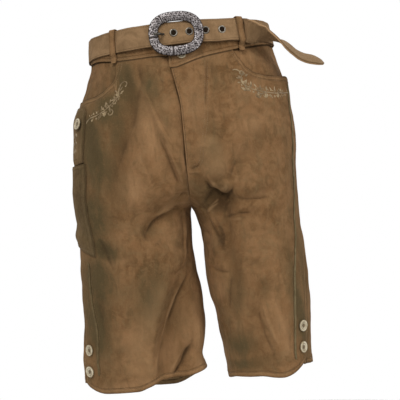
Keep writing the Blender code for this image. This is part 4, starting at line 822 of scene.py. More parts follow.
def make_waistband(skin, other, finish):
    """From the centre back to the fly, where the left band laps over the right one."""
    leg = skin.leg
    reach, front, back = band_lengths(skin)
    end = front + back - GAP / 2
    if leg == "left":
        run = np.linspace(-reach, end, 200)
        sunk = np.zeros(len(run))
    else:
        tucked = np.linspace(GAP / 2, reach + TUCK_RUN, 12)
        run = np.concatenate([tucked, np.linspace(reach + TUCK_RUN + 0.003, end, 188)])
        sunk = (BAND_THICK + 0.0008) * (1 - smooth_step(reach, reach + TUCK_RUN, run))
    level = band_across(skin, run)
    low = curve_through(WAIST_SEAM[leg], level)
    # Closer together at both edges, where the turned leather is round.
    down = (1 - np.cos(np.pi * np.linspace(0, 1, BAND_ROWS + 1))) / 2
    z = BAND_TOP + (low - BAND_TOP) * down[:, None]
    along = np.broadcast_to(run, z.shape)
    to_edge = np.minimum(BAND_TOP - z, z - low)
    round_off = BAND_ROUND * (1 - smooth_step(0.0, BAND_ROUND_OVER, to_edge))
    outer = band_points(skin, other, along, z, BAND_OUT - sunk - round_off)
    inner = band_points(skin, other, along, z, BAND_OUT - sunk - BAND_THICK + round_off * 0.6)
    from_edge = np.minimum(to_edge, along - run[0]) + BAND_EDGE
    across = np.broadcast_to(level, z.shape)
    cloth("waistband_suede_" + leg, skin, across, z, outer, inner, from_edge, FAR, finish,
          ["waistband_" + leg])


def band_points(skin, other, run, z, out):
    """Points at a distance round the waist from the centre front, negative past it."""
    length = skin.length(z, "front")
    own, _ = skin.at(np.clip(skin.across(length - run, z), -1, 1), z, out)
    far, _ = other.at(1 + np.minimum(run, 0) / other.length(z, "front"), z, out)
    return np.where((run < 0)[..., None], far, own)


# ---------------------------------------------------------------- the knife pocket

# Where the pocket's and the flap's back edges are, in front of the side line; widths and lengths.
KNIFE_POCKET_FROM, KNIFE_POCKET_WIDTH, KNIFE_POCKET_LENGTH = 0.002, 0.088, 0.155
FLAP_FROM, FLAP_WIDTH, FLAP_LENGTH = 0.008, 0.075, 0.103
KNIFE_POCKET_TOP, KNIFE_POCKET_FRONT_LOW, KNIFE_POCKET_BACK_LOW = -0.229, -0.394, -0.366
KNIFE_POCKET_SLANT = 0.006  # its top edge rises by this from back to front
FLAP_TOP = -0.124
FLAP_NARROWER = 0.32  # at its top, the share by which the flap is narrower than below
ON_SKIN = 0.0008  # a pad's lift over the cloth


def pad(name, skin, distance, z, lift, sewn, finish, replaces):
    """A piece lying on the cloth: lift is the height of its under face over the skin at each point."""
    across = skin.across(distance, z)
    lift = lift + stands_off(skin, distance, z)
    outer, _ = skin.at(across, z, lift + SUEDE)
    inner, _ = skin.at(across, z, lift)
    cloth(name, skin, across, z, outer, inner, sewn, FAR, finish, replaces)


def knife_pocket_places(u, v):
    """Distance and height of places on the pocket: u from its back edge to its front one, v downwards."""
    distance = KNIFE_POCKET_FROM + KNIFE_POCKET_WIDTH * u + 0 * v
    low = KNIFE_POCKET_BACK_LOW + (KNIFE_POCKET_FRONT_LOW - KNIFE_POCKET_BACK_LOW) * u
    top = KNIFE_POCKET_TOP + KNIFE_POCKET_SLANT * (u - 0.5)
    ridge = np.sin(math.pi * u) ** 0.7
    # Full above and again near its end, and flat where the front's edge pinches it.
    full = 0.0040 * (1 - smooth_step(0.40, 0.72, v)) + 0.0012 + 0.0045 * np.exp(-(((v - 0.86) / 0.07) ** 2))
    closed = 1 - smooth_step(0.93, 1.0, v)
    pinch = 0.0022 * np.exp(-(((v - 0.70 - 0.10 * u) / 0.022) ** 2)) * smooth_step(0.75, 0.30, u)
    return distance, top + (low - top) * v, ON_SKIN + ridge * np.maximum(full - pinch, 0) * closed


def make_knife_pocket(skin, finish):
    u, v = np.linspace(0, 1, 37)[None, :], np.linspace(0, 1, 66)[:, None]
    distance, z, lift = knife_pocket_places(u, v)
    down = np.minimum(1 - v, v + 0.004) * KNIFE_POCKET_LENGTH
    sewn = np.minimum(np.minimum(u, 1 - u) * KNIFE_POCKET_WIDTH, down)
    pad("knife_pocket_suede", skin, distance, z, lift, sewn, finish, ["knife_pocket"])


def flap_places(u, v):
    """Distance and height of places on the flap: u from its back edge to its front one, v downwards."""
    across = 0.5 + (u - 0.5) * (1 - FLAP_NARROWER * (1 - smooth_step(0.0, 0.12, v)))
    distance = FLAP_FROM + FLAP_WIDTH * across
    low = KNIFE_POCKET_TOP + KNIFE_POCKET_SLANT * (u - 0.5) + 0.0020
    ridge = np.sin(math.pi * u) ** 0.7
    full = 0.0032 * smooth_step(-0.05, 0.25, v) * (1 - 0.6 * smooth_step(0.88, 1.0, v))
    return distance, FLAP_TOP + (low - FLAP_TOP) * v, ON_SKIN + ridge * full


def make_flap(skin, finish):
    u, v = np.linspace(0, 1, 31)[None, :], np.linspace(0, 1, 45)[:, None]
    distance, z, lift = flap_places(u, v)
    sewn = np.minimum(np.minimum(u, 1 - u) * FLAP_WIDTH, np.minimum(v, 1 - v) * FLAP_LENGTH)
    pad("knife_pocket_flap_suede", skin, distance, z, lift, sewn, finish, ["knife_pocket_flap"])


# ---------------------------------------------------------------- thread: topstitching and embroidery

STITCH_SIDES = 5
# Along a stitch: share of its length, how far it stands out of the cloth and how thick it is, as shares.
STITCH_SHAPE = np.array([(0.0, -0.9, 0.55), (0.22, 0.35, 1.0), (0.78, 0.35, 1.0), (1.0, -0.9, 0.55)])


def stitch_row(pile, points, normals, pitch=0.0034, long=0.0025, radius=0.00030, slant=0.0):
    """A row of stitches along a path. slant sets each stitch across the path, by its sideways reach."""
    run = distances_along(points)
    count = int(run[-1] / pitch)
    if count < 1:
        return
    share, stand, thick = STITCH_SHAPE.T
    middle = (np.arange(count) + 0.5) * run[-1] / count
    where = middle[:, None] + (share - 0.5) * long

    def read(values):
        return np.stack([np.interp(where, run, values[:, k]) for k in range(3)], axis=-1)

    spine, up = read(points), unit(read(normals))
    side = unit(np.cross(spine[:, -1:] - spine[:, :1], up))
    spine = spine + side * ((share - 0.5) * 2 * slant)[:, None] + up * (stand * radius)[:, None]
    turn = 2 * np.pi * np.arange(STITCH_SIDES) / STITCH_SIDES
    level, upright = (wave(turn) * (thick * radius)[:, None] for wave in (np.cos, np.sin))
    rings = spine[:, :, None] + side[:, :, None] * level[..., None] + up[:, :, None] * upright[..., None]
    one, each = tube_faces(len(share), STITCH_SIDES), len(share) * STITCH_SIDES
    faces = [[corner + each * number for corner in face] for number in range(count) for face in one]
    pile.add(rings.reshape(-1, 3), faces)


def leg_path(skin, distance, z, lift=0.0):
    """A path on the cloth, with its normals, from distances in front of the side line and heights."""
    distance, z = np.broadcast_arrays(np.asarray(distance, float), np.asarray(z, float))
    return skin.at(skin.across(distance, z), z, lift + stands_off(skin, distance, z))


def smooth_path(knots, count=60):
    """A smooth line of points through a few knots, by a Catmull-Rom spline."""
    knots = np.asarray(knots, float)
    padded = np.concatenate([[2 * knots[0] - knots[1]], knots, [2 * knots[-1] - knots[-2]]])
    where = np.linspace(0, len(knots) - 1 - 1e-9, count)
    i = where.astype(int)
    t = (where - i)[:, None]
    a, b, c, d = padded[i], padded[i + 1], padded[i + 2], padded[i + 3]
    return 0.5 * (2 * b + (c - a) * t + (2 * a - 5 * b + 4 * c - d) * t**2 + (3 * b - a - 3 * c + d) * t**3)


ROW_START = 0.995  # how near the inseam the hem's rows start, as a share of the face
ROW_POINTS = 240
HEM_INSET = 0.0086
EDGE_INSET = 0.0030
MOUTH_INSETS = (0.0022, 0.0085)  # of the pocket's two rows
MOUTH_LEVEL = -0.11  # the height of the pocket's mouth at the outseam
SEAT_INSET = 0.0032  # from the centre back's seam
BAND_INSET = 0.0032  # at the waistband's end
# Places on the curved row down the fly: height, and distance from the centre.
FLY_STITCH = ((-0.064, 0.0560), (-0.122, 0.0494), (-0.176, 0.0436), (-0.218, 0.0334), (-0.239, 0.0300),
              (-0.251, 0.0231), (-0.256, 0.0120), (-0.259, 0.0020))
FLY_STITCH_GAP = 0.0052  # between the fly's two curved rows
FLY_ROW_TOP = -0.080
# Heights between which the rows run down the outseam, the seat seam and the centre front below the fly.
OUTSEAM_ROW = (-0.118, -0.604)
SEAT_ROW = (-0.058, FORK_Z + 0.004)
CENTRE_ROW = (-0.262, FORK_Z + 0.006)
BAND_SUNK = 0.0001  # how far the band's stitches are pulled in
BAND_END_TOP = -0.044  # of the row at its end


def hem_stitches(pile, skin):
    leg = skin.leg
    across = np.linspace(ROW_START, 0.0, ROW_POINTS)
    for _ in range(3):  # the end at the outseam depends on its own height, and settles in a few rounds
        z = curve_through(FRONT_HEM[leg], across)
        edge = outseam(skin, z)
        across = np.linspace(ROW_START, float(skin.across(edge[-1] + EDGE_INSET, z[-1])), ROW_POINTS)
    z = z + vent_corner(leg, across * skin.length(z, "front") - edge) + HEM_INSET
    stitch_row(pile, *skin.at(across, z, HEM_THICKER))
    across = np.linspace(-ROW_START, 0.02, ROW_POINTS)
    z = curve_through(BACK_HEM[leg], across) + HEM_INSET
    stitch_row(pile, *skin.at(across, z, HEM_THICKER * 0.4))


def mouth_stitches(pile, skin, inset):
    """A row along the pocket's mouth, inset square to its line."""
    start = float(skin.across(outseam(skin, np.array(MOUTH_LEVEL)) + 0.002, MOUTH_LEVEL))
    across = np.linspace(start, POCKET_EDGE[skin.leg][-1][0] + 0.01, 120)
    mouth = curve_through(POCKET_EDGE[skin.leg], across)
    slope = unit(np.gradient(skin.at(across, mouth)[0], axis=0))
    z = mouth - inset * np.hypot(slope[:, 0], slope[:, 1])
    distance = across * skin.length(mouth, "front") + inset * slope[:, 2]
    keep = z < seam_at_waist(skin, across) - 0.002
    stitch_row(pile, *leg_path(skin, distance[keep], z[keep]))


def fly_stitches(pile, skin, other):
    """A row along the fly's edge, and two that curve from the waist to its lower end."""
    z = np.linspace(FLY_ROW_TOP, FLY_END_Z, 120)
    beyond = fly_reach(z) - EDGE_INSET
    _, normals = skin.at(np.minimum(1 + beyond / skin.length(z, "front"), 1), z)
    stitch_row(pile, past_centre(skin, other, beyond, z, 0.0), normals)
    z, past = smooth_path(FLY_STITCH, 160).T
    for gap in (0.0, FLY_STITCH_GAP):
        across = 1 - np.maximum(past - gap, 0.0006) / skin.length(z, "front")
        stitch_row(pile, *skin.at(across, z + gap * smooth_step(-0.245, -0.256, z)))


def panel_stitches(skin, other, thread):
    """Topstitching on one leg: hems, the pocket's mouth, the fly and the seams."""
    pile = Pile()
    hem_stitches(pile, skin)
    for inset in MOUTH_INSETS:
        mouth_stitches(pile, skin, inset)
    # The front's lapped edge, down the outseam.
    z = np.linspace(*OUTSEAM_ROW, 300)
    stitch_row(pile, *leg_path(skin, outseam(skin, z) + EDGE_INSET, z))
    # The seat seam, sewn down at its side.
    z = np.linspace(*SEAT_ROW, 160)
    stitch_row(pile, *skin.at(-1 + SEAT_INSET / skin.length(z, "back"), z))
    if skin.leg == "left":
        fly_stitches(pile, skin, other)
    else:
        z = np.linspace(*CENTRE_ROW, 40)
        stitch_row(pile, *skin.at(1 - EDGE_INSET / skin.length(z, "front"), z))
    pile.piece("stitches_" + skin.leg, thread, "suede")


def band_stitches(skins, thread):
    """Rows along the waistband's lower edge, and at its end at the fly."""
    pile = Pile()

    def row(skin, other, run, level, z):
        path = band_points(skin, other, run, z, BAND_OUT - BAND_SUNK)
        stitch_row(pile, path, skin.at(level, z)[1])

    for leg, other in (("right", "left"), ("left", "right")):
        reach, front, back = band_lengths(skins[leg])
        start = EDGE_INSET - reach if leg == "left" else reach + TUCK_RUN
        run = np.linspace(start, front + back - 0.002, 500)
        level = band_across(skins[leg], run)
        row(skins[leg], skins[other], run, level, curve_through(WAIST_SEAM[leg], level) + EDGE_INSET)
    z = np.linspace(float(curve_through(WAIST_SEAM["left"], 1.0)) + BAND_INSET, BAND_END_TOP, 20)
    row(skins["left"], skins["right"], np.full(20, BAND_INSET - reach), np.ones(20), z)
    pile.piece("stitches_waistband", thread, "suede")


def pocket_stitches(skin, thread):
    """Rows round the knife pocket and its flap."""
    pile = Pile()

    def row(places, u, v, **more):
        distance, z, lift = places(u, v)
        stitch_row(pile, *leg_path(skin, distance, z, lift + SUEDE), **more)

    coarse = {"pitch": 0.0040, "long": 0.0029}
    for u in (0.035, 0.965):
        row(knife_pocket_places, np.full(160, u), np.linspace(0.02, 0.985, 160), **coarse)
    for v in (0.972, 0.022):
        row(knife_pocket_places, np.linspace(0.04, 0.96, 80), np.full(80, v))
    for u in (0.05, 0.95):
        row(flap_places, np.full(100, u), np.linspace(0.06, 0.97, 100), **coarse)
    row(flap_places, np.linspace(0.08, 0.92, 60), np.full(60, 0.040))
    pile.piece("stitches_knife_pocket", thread, "suede")


LEAF_GRID = (13, 9)  # points along a leaf and across it
STRAND_PITCH = 0.0011
LEAF_SUNK = 0.0004  # how far its under side is in the cloth


def satin_leaf(pile, skin, distance, z, angle, long, wide, lift=0.0, height=0.0007):
    """A leaf of close stitches, pointing at angle from the direction along the cloth, towards +distance."""
    u, v = np.meshgrid(np.linspace(0, 1, LEAF_GRID[0]), np.linspace(-1, 1, LEAF_GRID[1]), indexing="ij")
    half = wide / 2 * np.sin(np.pi * np.clip(u, 0.02, 0.98)) ** 0.75 * (1.15 - 0.3 * u)
    along = (u - 0.5) * long
    turn, aside = math.cos(angle), math.sin(angle)
    places_d = distance + along * turn - half * v * aside
    places_z = z + along * aside + half * v * turn
    strands = 0.12 * np.cos(np.pi * 2 * (u * long / STRAND_PITCH + np.abs(v) * 0.9))
    vein = 0.45 * np.exp(-((v / 0.16) ** 2))
    dome = height * ((1 - v**2) * (1 + strands) - vein)
    outer, _ = leg_path(skin, places_d, places_z, lift + dome)
    inner, _ = leg_path(skin, places_d, places_z, lift - LEAF_SUNK)
    pile.add(np.concatenate([outer.reshape(-1, 3), inner.reshape(-1, 3)]), wall_faces(*LEAF_GRID))


def vine(pile, skin, knots, lift=0.0, thick=0.00052, rows=2):
    """A stem: slanting stitches that overlap, in rows side by side."""
    path = smooth_path(knots, 20 * len(knots))
    points, normals = leg_path(skin, path[:, 0], path[:, 1], lift)
    side = unit(np.cross(np.gradient(points, axis=0), normals))
    for row in range(rows):
        beside = points + side * (row - (rows - 1) / 2) * thick * 1.7
        stitch_row(pile, beside, normals, pitch=0.0021, long=0.0031, radius=thick, slant=thick * 0.5)


def scroll_knots(scroll):
    """Knots of an arc that closes in."""
    share = np.linspace(0, 1, scroll.knots)
    turns = np.radians(scroll.start + scroll.sweep * share)
    reach = scroll.radius * (1 - scroll.shrink * share)
    return np.stack([scroll.distance + reach * np.cos(turns), scroll.z + reach * np.sin(turns)], axis=1)


# The large leaves: where, how large, and which way they point in degrees. Places are in front of the side
# line.
Leaf = namedtuple("Leaf", "distance z long wide angle")
LEAVES = in_metres(Leaf, 4, {
    "right": [
        (150, -102, 8, 4, 80), (144, -108.5, 7, 3.6, 120), (153, -110, 7, 3.6, 50),
        (142.5, -119, 12, 6.2, 35), (150.5, -117.5, 8, 4, 75), (135.5, -122.5, 8.5, 4.2, 100),
        (145, -127.5, 9, 4.4, -10), (128.5, -126.5, 9.5, 4.6, 115), (121.5, -132, 9, 4.2, 130),
        (139.5, -137, 11, 5.2, -65), (130, -144, 10, 5, -75), (120, -147.5, 9.5, 4.6, -105),
        (112, -139, 7.5, 3.6, 140), (104.5, -150, 7, 3.2, -110), (95, -142.5, 6, 3, 130),
        (88, -153, 6, 2.8, -120),
    ],
    "left": [
        (157.5, -103.5, 8, 4, 60), (148.5, -98, 8.5, 4.4, 120), (143, -101, 7.5, 4, 150),
        (156, -113, 11, 5.6, 85), (148, -112, 8, 3.8, 125), (159, -124.5, 10, 5, 30),
        (150, -127, 8, 4, -40), (140, -116.5, 9.5, 4.8, 110), (133, -120, 8.5, 4.2, 70),
        (124, -123.5, 8.5, 4.2, 120), (111.5, -126.2, 9.5, 4.8, 115), (101, -126.8, 8, 4, 70),
        (90, -126.2, 9.5, 4.6, 120), (134.5, -137.5, 10, 5, -60), (119.5, -138.5, 9.5, 5, -75),
        (106, -140, 9, 4.4, -110), (87, -139, 7.5, 3.6, -75), (73, -129, 7, 3.4, 110),
        (60, -138.5, 6.5, 3.2, -80), (48, -128.5, 6, 3, 100),
    ],
})
# The stem from which the leaves grow, as places on it.
STEMS = {
    "right": [
        (145.5, -100), (146.8, -107), (149, -114), (146, -119), (138.2, -129), (129.6, -137),
        (118.2, -142.5), (108.7, -145), (98.8, -146.5), (91.5, -150), (86.5, -153),
    ],
    "left": [
        (153, -104.5), (156, -113), (154, -118), (149, -121.5), (141.1, -126.2), (135, -128.5),
        (122.1, -131.2), (107.5, -133.5), (93, -134.5), (77.5, -133.8), (60, -133.2), (42, -131.8),
    ],
}
# Scrolls at the stem: their middle, radius, first angle and sweep in degrees, the knots in them, and the
# share by which they close in.
Scroll = namedtuple("Scroll", "distance z radius start sweep knots shrink")
SCROLLS = in_metres(Scroll, 3, {
    "right": [
        (152.5, -96.5, 6.8, 215, -255, 11, 0.25), (141.8, -142.5, 5.6, 120, -300, 11, 0.35),
        (130, -143.5, 4, 100, -260, 9, 0.35), (120.8, -145.5, 3.4, 90, -240, 9, 0.35),
        (130.5, -128.5, 3.4, 270, -240, 9, 0.35),
    ],
    "left": [
        (160, -98.5, 9.2, 60, 240, 11, 0.25), (150.5, -97.5, 5.2, 200, -240, 9, 0.35),
        (135.2, -137.2, 6.2, 100, 290, 11, 0.35), (120.3, -138, 5.6, 95, 270, 11, 0.35),
        (88, -137.5, 4.2, 95, 260, 9, 0.35), (157, -124, 5.2, 120, 260, 9, 0.35),
    ],
})

SLIMNESS = {"right": 0.62, "left": 0.78}  # the large leaves' widths, as shares of the table's
SPRIG_PITCH = 0.0042  # from one pair of small leaves to the next along a stem
SPRIGS_END = 0.86  # the share of the stem on which they grow
SPRIG_REACH = (0.0030, 0.0068)  # how far from the stem they stand
SPRIG_SIZE = (0.0032, 0.0058)


def make_embroidery(skin, thread):
    """Stems, scrolls and the large leaves of the tables, filled in with small leaves in pairs."""
    pile = Pile()
    seed = np.random.default_rng(21)
    for leaf in LEAVES[skin.leg]:
        wide = leaf.wide * SLIMNESS[skin.leg]
        satin_leaf(pile, skin, leaf.distance, leaf.z, math.radians(leaf.angle), leaf.long, wide)
    knots = np.array(STEMS[skin.leg]) / 1000
    for path in [knots] + [scroll_knots(scroll) for scroll in SCROLLS[skin.leg]]:
        vine(pile, skin, path)
    stem = smooth_path(knots, 400)
    run = distances_along(stem)

    def on_stem(place):
        return np.array([np.interp(place, run, stem[:, k]) for k in range(2)])

    for place in np.arange(SPRIG_PITCH, run[-1] * SPRIGS_END, SPRIG_PITCH):
        at, after = on_stem(place), on_stem(place + 0.001)
        way = math.atan2(after[1] - at[1], after[0] - at[0])
        for side in (-1, 1):
            reach = seed.uniform(*SPRIG_REACH)
            turn = way + side * math.pi / 2 + seed.uniform(-0.5, 0.5)
            long = seed.uniform(*SPRIG_SIZE)
            satin_leaf(pile, skin, at[0] + reach * math.cos(turn), at[1] + reach * math.sin(turn),
                       turn + seed.uniform(-0.9, 0.9), long, long * 0.48, height=0.0005)
    pile.piece("embroidery_" + skin.leg, thread, "suede")


FLAP_MOTIFS = (0.48, 0.62, 0.76)  # places down the flap
FLAP_STEM = 0.62  # the stem's place across the flap
FLAP_STEM_KNOTS = 12
FLAP_LEAF = (0.0085, 0.0042)  # long and wide


def make_flap_embroidery(skin, thread):
    """A short spray down the flap: a stem with a pair of leaves at each motif."""
    pile = Pile()
    down = np.linspace(0.42, 0.84, FLAP_STEM_KNOTS)
    distance, z, lift = flap_places(FLAP_STEM + 0.05 * np.sin(down * 16), down)
    every = np.arange(FLAP_STEM_KNOTS)
    lift = np.interp(np.linspace(0, every[-1], 20 * FLAP_STEM_KNOTS), every, lift + SUEDE)
    vine(pile, skin, np.stack([distance, z], axis=1), lift=lift, rows=1)
    for v in FLAP_MOTIFS:
        for side in (-1, 1):
            distance, z, lift = map(float, flap_places(np.array(FLAP_STEM + 0.10 * side), np.array(v)))
            satin_leaf(pile, skin, distance, z, math.radians(-90 + 48 * side), *FLAP_LEAF, lift + SUEDE)
    pile.piece("embroidery_flap", thread, "suede")


# ---------------------------------------------------------------- piping and buttons

PIPING_HALF_WIDTH = 0.0022
PIPING_FLATNESS = 0.42
PIPING_ENDS = {"right": (-0.404, -0.612), "left": (-0.116, -0.612)}


def tube(spine, normal, radius, sides, flatness=1.0):
    """Points and faces of a closed tube along a path, pressed flat towards the cloth."""
    along = unit(np.gradient(spine, axis=0))
    across = unit(np.cross(along, normal))
    up = np.cross(across, along)
    radius = np.broadcast_to(radius, len(spine))[:, None]
    turns = 2 * math.pi * np.arange(sides) / sides
    level, upright = np.cos(turns) * radius, flatness * np.sin(turns) * radius
    rings = spine[:, None] + across[:, None] * level[..., None] + up[:, None] * upright[..., None]
    return rings.reshape(-1, 3), tube_faces(len(spine), sides)


PIPING_POINTS, PIPING_SIDES = 260, 14
GUTTER = 0.0034  # from the cord's middle to the stitches at each side of it


def make_piping(skin, finish, thread):
    """A folded strip of thin leather let into the outseam, with a cord inside it."""
    z = np.linspace(*PIPING_ENDS[skin.leg], PIPING_POINTS)
    distance = curve_through(OUTSEAM[skin.leg], z)
    # It wanders a little, and is fuller in some places than in others.
    wave = 0.00022 * np.sin(z * 900) + 0.00018 * np.sin(z * 377 + 1.0)
    spine, normal = leg_path(skin, distance + wave, z, ON_SKIN + 0.0004)
    ends = np.minimum(np.arange(PIPING_POINTS), np.arange(PIPING_POINTS)[::-1])
    radius = PIPING_HALF_WIDTH * np.sqrt(np.clip((ends + 0.4) / 3, 0, 1)) * (1 + 0.05 * np.sin(z * 1500))
    points, faces = tube(spine, normal, radius, PIPING_SIDES, PIPING_FLATNESS)
    add_piece("piping_cord_" + skin.leg, points, faces, finish, ["piping_" + skin.leg])
    pile = Pile()
    for side in (-1, 1):
        stitch_row(pile, *leg_path(skin, distance + side * GUTTER, z), pitch=0.0036, long=0.0026)
    pile.piece("piping_stitches_" + skin.leg, thread, "suede")


Button = namedtuple("Button", "name leg distance z lift radius")
HEM_BUTTON_HEIGHTS = {"right": (-0.5660, -0.6050), "left": (-0.5545, -0.5930)}
BUTTON_TO_PIPING = 0.0205
WAIST_BUTTON_Z, WAIST_BUTTON_IN = -0.0550, 0.0105  # its height, and its distance from the centre front


def buttons(skins):
    waist = float(skins["left"].length(WAIST_BUTTON_Z, "front")) - WAIST_BUTTON_IN
    rows = [
        Button("waist_button", "left", waist, WAIST_BUTTON_Z, BAND_OUT + 0.0005, 0.0085),
        Button("knife_pocket_button", "right", 0.0680, -0.1550, 0.0072, 0.0105),
    ]
    for leg, heights in HEM_BUTTON_HEIGHTS.items():
        for number, z in enumerate(heights):
            beside = float(curve_through(OUTSEAM[leg], z)) - BUTTON_TO_PIPING
            rows.append(Button(f"hem_button_{leg}_{number + 1}", leg, beside, z, ON_SKIN, BUTTON_RADIUS))
    return rows


# A button's section, from its middle to its rim and round to its back: share of radius, of thickness.
BUTTON_SECTION = (
    (0.0, 0.50), (0.10, 0.50), (0.24, 0.51), (0.36, 0.55), (0.44, 0.66), (0.50, 0.80), (0.55, 0.84),
    (0.60, 0.80), (0.64, 0.74), (0.68, 0.76), (0.72, 0.88), (0.78, 0.97), (0.84, 1.0), (0.90, 0.97),
    (0.955, 0.88), (0.985, 0.74), (1.0, 0.56), (0.99, 0.36), (0.95, 0.16), (0.86, 0.03), (0.60, 0.0),
    (0.0, 0.0),
)
BUTTON_SIDES = 48
HOLE_OFFSET, HOLE_RADIUS = 0.17, 0.085  # shares of the radius
# A hole is a dark disc of painted shade.
HOLE_PROUD, HOLE_DEPTH = 0.00012, 0.0004  # how far a hole's dark disc stands out of the dish, and how thick
SEWN_REACH = 1.25  # the thread runs this many hole offsets from the middle
SEWN_HIGH, SEWN_APART, SEWN_RADIUS = 0.00035, 0.00028, 0.00026  # its arch, its two strands and their radius


def make_button(row, skin, horn, hole_shade, thread):
    centre, normal = skin.at(skin.across(row.distance, row.z), row.z, row.lift)
    level = unit(np.cross([0, 0, 1.0], normal))
    upright = np.cross(normal, level)
    turns = 2 * math.pi * np.arange(BUTTON_SIDES) / BUTTON_SIDES
    away = level * np.cos(turns)[:, None] + upright * np.sin(turns)[:, None]
    points, dish = [centre + normal * BUTTON_THICK * BUTTON_SECTION[0][1]], [0.0]
    for reach, height in BUTTON_SECTION[1:-1]:
        points += list(centre + away * row.radius * reach + normal * BUTTON_THICK * height)
        dish += [reach] * BUTTON_SIDES
    points.append(centre)
    dish.append(1.0)
    rings, last = len(BUTTON_SECTION) - 2, len(points) - 1
    faces = grid_faces(rings, BUTTON_SIDES, 1, closed=True)
    back = 1 + (rings - 1) * BUTTON_SIDES
    for j in range(BUTTON_SIDES):
        k = (j + 1) % BUTTON_SIDES
        faces += [[0, 1 + j, 1 + k], [back + k, back + j, last]]
    add_piece(row.name + "_horn", points, faces, horn, [row.name], 60, {"dish": dish})
    # Two holes, each a disc of painted shade, and the thread that runs between them.
    hole_shades, sewn = Pile(), Pile()
    face = centre + normal * (BUTTON_THICK * BUTTON_SECTION[0][1] + HOLE_PROUD)
    offset = row.radius * HOLE_OFFSET
    for side in (-1, 1):
        ring = face + upright * offset * side + away[::4] * row.radius * HOLE_RADIUS
        hole_shades.add(np.concatenate([ring, ring - normal * HOLE_DEPTH]), tube_faces(2, len(ring)))
    hole_shades.piece(row.name + "_holes", hole_shade, "horn")
    share = np.linspace(-1, 1, 12)
    arch = upright * (share * SEWN_REACH * offset)[:, None] + normal * (SEWN_HIGH * (1 - share**4))[:, None]
    for side in (-1, 1):
        sewn.add(*tube(face + arch + level * SEWN_APART * side, normal, SEWN_RADIUS, 6))
    sewn.piece(row.name + "_thread", thread, "horn")


# ---------------------------------------------------------------- belt and loops

TailPoint = namedtuple("TailPoint", "x y z tilt")
TAIL = [
    TailPoint(0.1260, -0.1102, -0.0250, 12),
    TailPoint(0.1378, -0.1104, -0.0305, 36),
    TailPoint(0.1474, -0.1060, -0.0339, 58),
    TailPoint(0.1612, -0.0997, -0.0392, 78),
    TailPoint(0.1740, -0.0940, -0.0440, 98),
    TailPoint(0.1866, -0.0890, -0.0494, 117),
    TailPoint(0.1977, -0.0840, -0.0579, 122),
    TailPoint(0.2098, -0.0790, -0.0684, 121),
    TailPoint(0.2242, -0.0730, -0.0750, 120),
    TailPoint(0.2410, -0.0660, -0.0788, 119),
    TailPoint(0.2568, -0.0590, -0.0846, 118),
]
TAIL_LEAN = -2  # where it leaves, it leans back as the waistband does
TAIL_POINTS, TIP_POINTS = 80, 22
TIP_LENGTH = 0.020
ROLL_HIGH, ROLL_WIDE = 0.0020, 0.0036  # how far, and how wide, the free end's upper edge is rolled outwards
ROLL_STARTS = 0.016  # it is fully rolled this far past the loop
BELT_COUNT = 460
SECOND_LAYER = (0.110, 0.068)  # before it has gone once round, it rises to the outer layer between these


def round_the_waist(skins, run, z, out):
    """Points at distances round the waist, from the centre front towards the wearer's left."""
    points = np.zeros((len(run), 3))
    start = 0.0
    for leg in ("left", "right", "left"):
        skin = skins[leg]
        front, back = float(skin.length(BELT_Z, "front")), float(skin.length(BELT_Z, "back"))
        here = (run >= start) & (run <= start + front + back + 1e-9)
        share = np.clip(run - start, 0, front + back)
        distance = front - share if leg == "left" else share - back
        place, _ = skin.at(np.clip(skin.across(distance, BELT_Z), -1, 1), z, out)
        points[here] = place[here]
        start += front + back
    return points


def strap_section(high, thick, corner=0.0009, per_corner=3, flats=17):
    """A flat strap's section as shares: across its width from -1 to 1, and through it from 0 to 1."""
    reach, depth = corner / high, corner / thick
    quarter = np.linspace(0, np.pi / 2, per_corner)
    flat = np.linspace(1 - reach, -1 + reach, flats + 2)[1:-1]
    places = []
    for sign_w, sign_t in ((1, 1), (-1, 1), (-1, -1), (1, -1)):
        across = (1 - reach + reach * np.cos(quarter)) * sign_w
        through = 0.5 + sign_t * (0.5 - depth + depth * np.sin(quarter))
        arc = list(zip(across, through))
        places += arc if sign_w == sign_t else arc[::-1]
        if sign_w == sign_t:
            places += [(w * sign_w, 0.5 + 0.5 * sign_t) for w in flat]
    return np.array(places)


def rolled_edge(section):
    """How far the strap's section is rolled over along its upper edge, on its outer side, up to 1."""
    from_edge = (1 - section[:, 0]) * BELT_WIDTH / 2
    return np.exp(-((from_edge / ROLL_WIDE) ** 2)) * (section[:, 1] > 0.5)


def make_belt(skins, finish):
    """One strap: from the buckle round the waist, over its own beginning, and off at the left hip."""
    turn = sum(float(skins[leg].length(BELT_Z, face)) for leg in skins for face in ("front", "back"))
    run = np.linspace(BELT_START, turn + BELT_LEAVES, BELT_COUNT)
    second = smooth_step(turn - SECOND_LAYER[0], turn - SECOND_LAYER[1], run)
    out = BELT_INNER + (BELT_OUTER - BELT_INNER) * second
    section = strap_section(BELT_WIDTH / 2, BELT_THICK)
    rings = [
        round_the_waist(skins, run, BELT_Z + share_w * BELT_WIDTH / 2 + 0 * run, out + share_t * BELT_THICK)
        for share_w, share_t in section
    ]
    sections = np.stack(rings, axis=1)
    points = np.concatenate([sections, tail_sections(sections[-1], section)])
    past_waist = np.arange(len(points))[:, None] - BELT_COUNT
    marks = {
        "edge": np.tile((1 - np.abs(section[:, 0])) * BELT_WIDTH / 2 * 1000, len(points)),
        "flesh": np.tile((section[:, 1] < 0.5).astype(float), len(points)),
        # The rolled edge is painted lighter: burnished wear, and a painted highlight.
        "worn": (rolled_edge(section) * smooth_step(0, 8, past_waist)).ravel(),
        "shade": ((section[:, 1] > 0.5) * smooth_step(-2, 12, past_waist)).ravel(),
    }
    faces = tube_faces(*points.shape[:2])
    add_piece("belt_strap", points, faces, finish, ["belt"], 50, marks)


